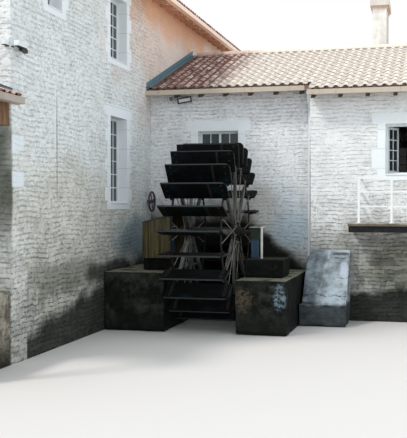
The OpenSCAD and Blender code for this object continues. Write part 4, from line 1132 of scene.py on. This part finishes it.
def around(angle):
    """Local X along the axle, local Z outwards at this angle."""
    return Matrix.Translation(axle) @ Matrix.Rotation(rest_turn + angle, 4, "X")


def paddle_boards():
    boards = bmesh.new()
    gaps = (-paddle_deep, -0.302, -0.149, 0.0)
    for low, high in zip(gaps, gaps[1:]):
        one = bmesh.new()
        box(one, (-half_wide, -paddle_thick / 2, low + 0.0015),
            (half_wide, paddle_thick / 2, high - 0.0015 * (high < 0)))
        if high == 0:
            corner = [edge for edge in one.edges
                if all(vert.co.x > half_wide - 0.01 and vert.co.z > -0.01 for vert in edge.verts)]
            soften(one, corner, 0.1, 7)
        soften(one, [edge for edge in one.edges if edge.calc_face_angle(0) > 0.7], 0.003)
        boards.from_mesh(mesh_of(one))
    return mesh_of(boards)


def on_paddle(i):
    return around(math.radians(15 * i)) @ shift(0, 0, wheel_radius) @ turned(-8, "X")


tarred = Finish("tarred_boards")
tx, ty, tz = tarred.parts()
streak = tarred.cloud(0.6, 6.0, 0.7, stretch=(12.0, 12.0, 1.3))
tarred.tint = tarred.mix(tarred.band(streak, 0.52, 0.76), srgb(4, 6, 7), srgb(22, 27, 27))
# teal patches on the black tar are a painted reflection of the sky on the wet wood
tarred.over(tarred.spots(0.50, 0.70, 0.35, 5.0) * 0.55, srgb(15, 38, 45))
away = tarred.op("LENGTH", tarred.node("CombineXYZ",
    {}, {"Y": ty - axle.y, "Z": tz - axle.z}), out="Value")
rim_wear = tarred.band(away + (tarred.cloud(0.08, 5.0) - 0.5) * 0.012,
    wheel_radius - 0.014, wheel_radius - 0.004)
end_wear = tarred.band(tx - axle.x + (tarred.cloud(0.08, 5.0) - 0.5) * 0.016,
    half_wide - 0.010, half_wide - 0.002)
tarred.over(rim_wear * 0.7, srgb(66, 71, 71))
tarred.over(end_wear * 0.5, srgb(70, 74, 72))
tarred.finish(tarred.tint, 0.62,
    streak * 0.7 + tarred.cloud(0.02, 4.0) * 0.3, 0.004, Specular_IOR_Level=0.12)
paddle_places = [on_paddle(i) for i in range(paddle_count)]
piece("paddle_boards", lay(paddle_boards(), paddle_places),
    tarred.material, body="wheel", replaces=("wheel_paddles",), smooth=30)

# %% [markdown]
# ## Iron on the wheel
# Each paddle is held by an angle iron at each rim, with three bolts through it, and has a flat
# strap near its middle. The hubs carry a ring of bolts for the arms. A bolt is a six-sided head on
# a round washer: only twenty faces, because hundreds of them are laid.

# %% Bolts and straps
washer_thick = 0.003


def bolts(name, size, places, material, body="mill"):
    """One piece of six-sided heads on round washers, each standing on +Z of its place."""
    head = bmesh.new()
    rod(head, (0, 0, 0), (0, 0, washer_thick), size * 1.7, segments=10)
    rod(head, (0, 0, washer_thick), (0, 0, washer_thick + size), size, segments=6)
    piece(name, lay(mesh_of(head), places), material, body=body, smooth=0)


face_out = turned(90, "X")
face_back = turned(-90, "X")
bolt_places = []
strap_bm = bmesh.new()
box(strap_bm, (-0.022, -paddle_thick / 2 - 0.006, -paddle_deep + 0.02),
    (0.022, -paddle_thick / 2, -0.004), 0.0015)
strap_mesh = mesh_of(strap_bm)
strap_places = []
for place in paddle_places:
    for x in (-0.546, 0.546):
        for z in (-0.06, -0.21, -0.36):
            bolt_places.append(place @ shift(x, -paddle_thick / 2, z) @ face_out)
            bolt_places.append(place @ shift(x, paddle_thick / 2 + 0.014, z) @ face_back)
    strap_places.append(place @ shift(0.30, 0, 0))
hub_places = []
for side in (-1, 1):
    for i in range(16):
        turn = around(math.radians(22.5 * i))
        radius = 0.235 if i % 2 else 0.165
        hub_places.append(turn @ shift(side * (0.504 + 0.008), 0, radius) @ turned(90 * side, "Y"))


def rusty_iron(name, colour=srgb(44, 42, 40), rust=0.6, rough=0.55):
    iron = Finish(name)
    blotch = iron.cloud(0.11, 6.0, 0.7)
    tint = iron.mix(iron.band(blotch, 0.44, 0.64) * rust,
        colour, iron.mix(iron.cloud(0.025, 4.0), srgb(52, 38, 30), srgb(92, 68, 52)))
    wet = iron.spots(0.45, 0.6, 0.3, 4.0)
    return iron.finish(tint, rough + blotch * 0.25 - wet * 0.15, blotch, 0.002, Specular_IOR_Level=0.2)


wheel_iron = rusty_iron("wet_wheel_iron", srgb(26, 27, 27), 0.35)
rod_iron = rusty_iron("pale_tie_rods", srgb(118, 115, 108), 0.4, 0.6)
paint(wheel_iron, "wheel_axle", "wheel_hubs", "wheel_rims", "wheel_brackets")
paint(rod_iron, "wheel_rods")
wheel_wood = wood("wet_wheel_arms", srgb(92, 92, 88), srgb(30, 32, 31), 2, rough=0.6)
paint(wheel_wood, "wheel_arms")
bolts("wheel_bolts", 0.014, bolt_places + hub_places, wheel_iron, "wheel")
piece("paddle_straps", lay(strap_mesh, strap_places), wheel_iron, body="wheel", smooth=0)

# %% [markdown]
# ## The board cover
# A box of upright boards shelters the left bearing. The boards differ a little in width and stand
# with narrow dark gaps, and a sloping lid of boards lies on top. Each board is a box whose top is
# cut by the plane of the lid.

# %% Cover boards
cover_low_x, cover_high_x = 0.933, 1.553
cover_front, cover_back = -2.6, -1.4
cover_base, lid_low, lid_high = 1.44, 2.19, 2.34
lid_slope = (lid_high - lid_low) / (cover_high_x - cover_low_x)
cover = bmesh.new()


def upright(low_x, high_x, low_y, high_y):
    board = bmesh.new()
    box(board, (low_x, low_y, cover_base + rng.uniform(0, 0.006)), (high_x, high_y, 2.4))
    cut(board, (cover_low_x, 0, lid_low - 0.03), (-lid_slope, 0, 1))
    bmesh.ops.holes_fill(board, edges=[e for e in board.edges if e.is_boundary], sides=0)
    outward(board)
    soften(board, board.edges[:], 0.0025)
    cover.from_mesh(mesh_of(board))


def split(low, high, width):
    """Cuts a length into boards of about this width, each a little different."""
    count = max(1, round((high - low) / width))
    marks = [low] + [low + (high - low) * (i + rng.uniform(-0.12, 0.12)) / count
        for i in range(1, count)] + [high]
    return list(zip(marks, marks[1:]))


for y0, y1 in ((cover_front + 0.004, cover_front + 0.028), (cover_back - 0.028, cover_back - 0.004)):
    for x0, x1 in split(cover_low_x + 0.004, cover_high_x, 0.125):
        inset = rng.uniform(0, 0.004)
        upright(x0 + 0.0025, x1 - 0.0025, y0 + inset, y1)
for y0, y1 in split(cover_front + 0.028, cover_back - 0.028, 0.14):
    upright(cover_low_x + 0.003, cover_low_x + 0.027, y0 + 0.0025, y1 - 0.0025)
for x0, x1 in ((cover_low_x + 0.03, cover_low_x + 0.07), (cover_high_x - 0.05, cover_high_x - 0.01)):
    for y0, y1 in ((cover_front + 0.03, cover_front + 0.07), (cover_back - 0.07, cover_back - 0.03)):
        upright(x0, x1, y0, y1)
lid = bmesh.new()
for y0, y1 in split(cover_front, cover_back, 0.2):
    box(lid, (cover_low_x, y0 + 0.002, lid_low - 0.028),
        (cover_high_x, y1 - 0.002, lid_low - 0.002), 0.003)
for vert in lid.verts:
    vert.co.z += (vert.co.x - cover_low_x) * lid_slope
cover_wood = wood("yellow_cover_boards", srgb(88, 77, 46), srgb(40, 37, 23), 2, worn=0.05, streaks=0.75)
piece("cover_boards", cover, cover_wood, replaces=("wheel_cover",), smooth=0)
piece("cover_lid", lid,
    wood("wet_lid_boards", srgb(58, 54, 40), srgb(24, 23, 18), 0, worn=0.05), smooth=0)

# %% [markdown]
# ## Bearing stands
# The journals turn in housings on short pedestals. On the right one the housing is dark green, the
# pedestal blue and the slim post beside it white. The paint is one material that changes by
# height, and a bolt sits at each corner of the plate and at both ends of the foot.

# %% Stand paint and bolts
stand = Finish("stand_paint")
stand_x, _, stand_z = stand.parts()
dull = stand.cloud(0.07, 5.0, 0.65)
green = stand.mix(dull, srgb(10, 26, 18), srgb(24, 44, 32))
blue = stand.mix(dull, srgb(24, 42, 56), srgb(48, 80, 104))
stand.tint = stand.mix(stand.band(stand_z, 1.825, 1.835), blue, green)
stand.over(stand.band(stand_z, 2.066, 2.072), srgb(150, 156, 150))
apart = stand.op("ABSOLUTE", stand_x - 2.283)
post_only = stand.band(apart, 1.038, 1.042)
stand.over(post_only, stand.mix(dull, srgb(176, 172, 164), srgb(222, 220, 214)))
flaked = stand.spots(0.60, 0.68, 0.05, 6.0, 0.75)
stand.over(flaked * 0.6, srgb(64, 46, 34))
stand.finish(stand.tint, 0.5 + flaked * 0.3, dull + flaked * 0.5, 0.002, Specular_IOR_Level=0.3)
paint(stand.material, "bearing_stands")
stand_bolts = []
for side in (-1, 1):
    for reach in (0.845, 1.0):
        for y in (-2.105, -1.895):
            stand_bolts.append(shift(axle.x + side * reach, y, 2.086))
    for y in (-2.08, -1.92):
        stand_bolts.append(shift(axle.x + side * 0.86, y, 1.44))
bolts("stand_bolts", 0.011, stand_bolts, wheel_iron)

# %% [markdown]
# ## Deck and railing
# A slab of old concrete lies on a steel beam, and the slab's face is darker brown towards its lower
# edge. The railing's posts stand on small plates, each with four bolts. Two rows of rivets hold the
# beam's web.

# %% Deck details
slab = Finish("old_concrete")
slab_cloud = slab.cloud(0.3, 7.0, 0.68)
slab_z = slab.parts()[2]
slab.tint = slab.mix(slab.band(slab_cloud, 0.36, 0.66), srgb(128, 120, 110), srgb(182, 174, 162))
# the slab's face is darker brown towards its lower edge
under_edge = slab.band(slab_z + (slab_cloud - 0.5) * 0.04, 2.148, 2.132)
slab.over(under_edge * 0.85, srgb(88, 74, 62))
pits = slab.spots(0.66, 0.74, 0.04, 3.0)
slab.finish(slab.mix(pits * 0.5, slab.tint, srgb(84, 80, 74)), 0.92, slab_cloud - pits * 0.4, 0.008)
paint(slab.material, "deck_slab")
deck_low_x, deck_high_x, deck_front, deck_top = 5.019, 7.471, -1.32, 2.154
rivets, plates = [], bmesh.new()
for i in range(12):
    x = deck_low_x + 0.1 + i * (deck_high_x - deck_low_x - 0.2) / 11
    for z in (deck_top - 0.06 - 0.03, deck_top - 0.06 - 0.10):
        rivets.append(shift(x, deck_front + 0.02, z) @ face_out)
post_bolts = []
for i in range(4):
    x = deck_low_x + 0.2 + i * (deck_high_x - deck_low_x - 0.4 - 0.045) / 3 + 0.0225
    y = deck_front + 0.06 + 0.0225
    box(plates, (x - 0.055, y - 0.055, deck_top), (x + 0.055, y + 0.055, deck_top + 0.008), 0.002)
    post_bolts += [shift(x + dx, y + dy, deck_top + 0.008)
        for dx in (-0.04, 0.04) for dy in (-0.04, 0.04)]
bolts("beam_rivets", 0.010, rivets, dark_steel)
piece("railing_plates", plates, white_paint)
bolts("railing_bolts", 0.006, post_bolts, white_paint)

# %% [markdown]
# ## The downpipe
# The white pipe is in lengths that push into each other, so each length ends in a wider socket
# with a rounded lip.

# %% Sockets
pipe_paint = painted("pipe_paint", srgb(240, 244, 248), dirt=srgb(176, 186, 196), amount=0.15)
paint(pipe_paint, "downpipe")
sockets = bmesh.new()
pipe_x, pipe_y, pipe_r = 4.058, -0.057, 0.035
for z in (2.05, 3.15, 4.15):
    rod(sockets, (pipe_x, pipe_y, z), (pipe_x, pipe_y, z + 0.07), pipe_r + 0.004, segments=24)
    rod(sockets, (pipe_x, pipe_y, z + 0.055), (pipe_x, pipe_y, z + 0.075), pipe_r + 0.007, segments=24)
piece("pipe_sockets", sockets, pipe_paint)

# %% [markdown]
# ## The chimney
# The stack is rendered white like the walls, its cap is cast stone, and the course below the cap is
# brick. The stack's right side is darkened grey-brown as painted shade, and two round flues open in
# the cap.

# %% Chimney finish
stack = Finish("chimney_render")
stack_x, _, stack_z = stack.parts()
stack_cloud = stack.cloud(0.3, 7.0, 0.66)
stack.tint = stack.mix(stack.band(stack_cloud, 0.34, 0.66), srgb(214, 210, 202), srgb(240, 238, 233))
# the right face is darkened grey-brown as painted shade
shaded_right_face = stack.band(stack_x, 5.545, 5.552)
stack.over(shaded_right_face * stack.band(stack_cloud, 0.3, 0.6) * 0.6, srgb(172, 160, 148))
runs = stack.spots(0.54, 0.7, 0.1, 5.0, 0.6, stretch=(1, 1, 0.15))
stack.over(runs * 0.35, srgb(150, 144, 136))
course = stack.band(stack_z, 7.752, 7.762) * stack.band(stack_z, 7.826, 7.816)
stack.over(course * 0.75, stack.mix(stack.cloud(0.08), srgb(196, 146, 118), srgb(224, 184, 158)))
cap_edge = stack.band(stack_z, 7.818, 7.826)
stack.over(cap_edge * 0.8, stack.mix(stack_cloud, srgb(196, 188, 178), srgb(232, 226, 218)))
stack.finish(stack.tint, 0.9,
    stack_cloud + stack.cloud(0.03, 4.0) * 0.3, 0.008, Specular_IOR_Level=0.25)
paint(stack.material, "chimney")
flue = bmesh.new()
for y in (4.22, 4.72):
    rod(flue, (5.37, y, 7.985), (5.37, y, 7.989), 0.12, segments=32)
soot = Finish("flue_soot")
soot.finish(soot.mix(soot.cloud(0.05, 5.0), srgb(18, 17, 16), srgb(44, 40, 38)), 0.95)
piece("flue_mouths", flue, soot.material, smooth=0)

# %% [markdown]
# ## Lamps
# The floodlight under the gutter is a white body behind a thick dark rubber frame. The sensor
# beside it is a white cup with a dark lens, and the lamps at the corner have black hoods.

# %% Lamp details
lamp_paint = painted("lamp_paint", srgb(222, 226, 226), dirt=srgb(150, 150, 146), amount=0.15)
black_rubber = Finish("black_rubber")
black_rubber.finish(black_rubber.mix(black_rubber.cloud(0.04, 4.0), srgb(20, 21, 23), srgb(42, 43, 45)),
    0.6, Specular_IOR_Level=0.3)
lamp_body = Finish("lamp_body")
_, lamp_y, lamp_z = lamp_body.parts()
worn = lamp_body.cloud(0.08, 5.0)
hood = lamp_body.band(lamp_y, -5.9, -6.0) * lamp_body.band(lamp_z, 5.056, 5.050)
lamp_tint = lamp_body.mix(worn, srgb(214, 220, 222), srgb(240, 242, 242))
lamp_body.finish(lamp_body.mix(hood, lamp_tint,
    lamp_body.mix(worn, srgb(16, 17, 19), srgb(38, 39, 41))), 0.5, worn, 0.002)
paint(lamp_body.material, "wall_lamps")

lamp_place = shift(1.146, -0.07, 4.972) @ turned(-8, "Y")
rim_grow = 0.003
rim = bmesh.new()
for x0, x1, z0, z1 in ((-0.170, 0.170, 0.042, 0.065), (-0.170, 0.170, -0.065, -0.042),
        (-0.170, -0.146, -0.042, 0.042), (0.146, 0.170, -0.042, 0.042)):
    box(rim, (x0 - rim_grow, -0.0825, z0 - rim_grow), (x1 + rim_grow, -0.062, z1 + rim_grow), 0.003)
carry(rim, lamp_place)
piece("floodlight_frame", rim, black_rubber.material)
reflector = bmesh.new()
for i in range(5):
    x = -0.12 + 0.06 * i
    box(reflector, (x - 0.003, -0.073, -0.040), (x + 0.003, -0.069, 0.040))
carry(reflector, lamp_place)
piece("floodlight_ribs", reflector, lamp_paint, smooth=0)
sensor_place = shift(0.799, -0.08, 5.015) @ turned(90, "X") @ turned(35, "Y")
lens_bm = bmesh.new()
bmesh.ops.create_uvsphere(lens_bm, u_segments=24, v_segments=12, radius=0.05, matrix=shift(0, 0, 0.006))
carry(lens_bm, sensor_place)
smoked = painted("smoked_lens", srgb(112, 120, 128), dirt=srgb(70, 74, 80), rough=0.2)
piece("sensor_lens", lens_bm, smoked)
rim_ring = ring_shape(0.086, 0.008, 40, sensor_place @ shift(0, 0, 0.010))
piece("sensor_rim", rim_ring, black_rubber.material)

# %% [markdown]
# ## The front door
# Under the porch is a door of upright planks on two long strap hinges, with a ring handle on a
# round plate. The hinges and the ring are black iron.

# %% Door planks and iron
door_oak = wood("door_planks",
    srgb(112, 88, 62), srgb(66, 50, 36), 2, board=0.125, board_axis=0, worn=0.2)
paint(door_oak, "front_door")
door_left, door_front, ring_x = -1.625, -6.88, -0.73
hinge_heights = (1.80, 3.10)
door_iron = bmesh.new()
for z in hinge_heights:
    box(door_iron, (door_left + 0.03, door_front - 0.007, z),
        (door_left + 0.68, door_front + 0.002, z + 0.05), 0.002)
    rod(door_iron, (door_left + 0.025, door_front - 0.012, z - 0.03),
        (door_left + 0.025, door_front - 0.012, z + 0.08), 0.012, segments=14)
for near, far, radius, segments in ((-0.006, 0.004, 0.045, 24), (-0.030, -0.004, 0.010, 12)):
    rod(door_iron, (ring_x, door_front + near, 2.35),
        (ring_x, door_front + far, 2.35), radius, segments=segments)
ring = ring_shape(0.05, 0.006, 28, shift(ring_x, door_front - 0.024, 2.30) @ turned(90, "X"))
door_iron.from_mesh(mesh_of(ring))
piece("door_hinges_and_ring", door_iron, black_rubber.material)
hinge_bolts = [shift(door_left + dx, door_front - 0.007, z + 0.025) @ face_out
    for z in hinge_heights for dx in (0.10, 0.27, 0.44, 0.61)]
bolts("hinge_bolts", 0.007, hinge_bolts, black_rubber.material)

# %% [markdown]
# ## Porch ridge and zinc folds
# The porch's ridge has the same half-round tiles as the wing, in a bed of mortar. The zinc above
# the wing and the porch is flat sheets, sheared to the slope of the roof that they follow. A thin
# rod is the fold of each upper edge, and nails hold the wing's. A nut holds the round fitting on
# the long wall.

# %% Small roof parts
porch_top = porch_eave + porch_rise * porch_half
porch_places = ridge_row((porch_middle, porch_front + 0.03, 0), 0, 1.82, porch_top + ridge_lift - 0.012)
piece("porch_ridge_pipes", lay(ridge_pipe, porch_places),
    ridge_clay, tones=[rng.uniform(0.1, 0.9) for _ in porch_places])
porch_bed = bmesh.new()
box(porch_bed, (porch_middle - 0.08, -8.94, porch_top - 0.03),
    (porch_middle + 0.08, -7.1, porch_top + 0.035))
slice_up(porch_bed, 0.12)
roughen(porch_bed, 0.01, 0.15)
piece("porch_ridge_mortar", porch_bed, mortar.material)
sheets = bmesh.new()
strip_low_y = eave_left - 0.04
box(sheets, (river_face, strip_low_y, 0.060), (river_face + 0.008, wing_ridge_y, 0.178))
box(sheets, (river_face + 0.006, strip_low_y, 0.075), (river_face + 0.138, wing_ridge_y - 0.112, 0.081))
for vert in sheets.verts:
    vert.co.z += wing_slab(vert.co.y)
fold_low = Vector((river_face + 0.010, strip_low_y + 0.01, wing_slab(strip_low_y + 0.01) + 0.178))
fold_top = Vector((river_face + 0.010, wing_ridge_y, wing_slab(wing_ridge_y) + 0.178))
rod(sheets, fold_low, fold_top, 0.009, segments=10)
for side in (-1, 1):
    strip = bmesh.new()
    box(strip, (0, -7.088, 0.020), (1.44, -7.080, 0.110))
    rod(strip, (0, -7.092, 0.110), (1.44, -7.092, 0.110), 0.007, segments=10)
    for vert in strip.verts:
        vert.co.z += porch_eave + porch_rise * (porch_half - vert.co.x)
        vert.co.x = porch_middle + side * vert.co.x
    outward(strip)
    sheets.from_mesh(mesh_of(strip))
nails = []
for i in range(14):
    at = fold_low.lerp(fold_top, (i + 0.5) / 14)
    nails.append(shift(river_face + 0.008, at.y, at.z - 0.03) @ turned(90, "Y"))
piece("zinc_sheets", sheets, zinc, replaces=("flashings",), smooth=30)
bolts("zinc_nails", 0.006, nails, zinc)
wheel_nut = [shift(0.415, -0.264, 2.615) @ turned(90, "Y")]
bolts("wall_wheel_nut", 0.016, wheel_nut, dark_steel)

# %% [markdown]
# ## The floor and the end
# A pale floor catches the shadow. It is a stage and no part of the mill.

# %% Stage and finish
floor_grid = bmesh.new()
bmesh.ops.create_grid(floor_grid, x_segments=1, y_segments=1, size=120)
floor_mesh = mesh_of(floor_grid, "pale_floor")
floor_finish = Finish("pale_floor")
floor_finish.finish(srgb(212, 207, 203), 0.9)
floor_mesh.materials.append(floor_finish.material)
pale_floor = bpy.data.objects.new("pale_floor", floor_mesh)
scene.collection.objects.link(pale_floor)
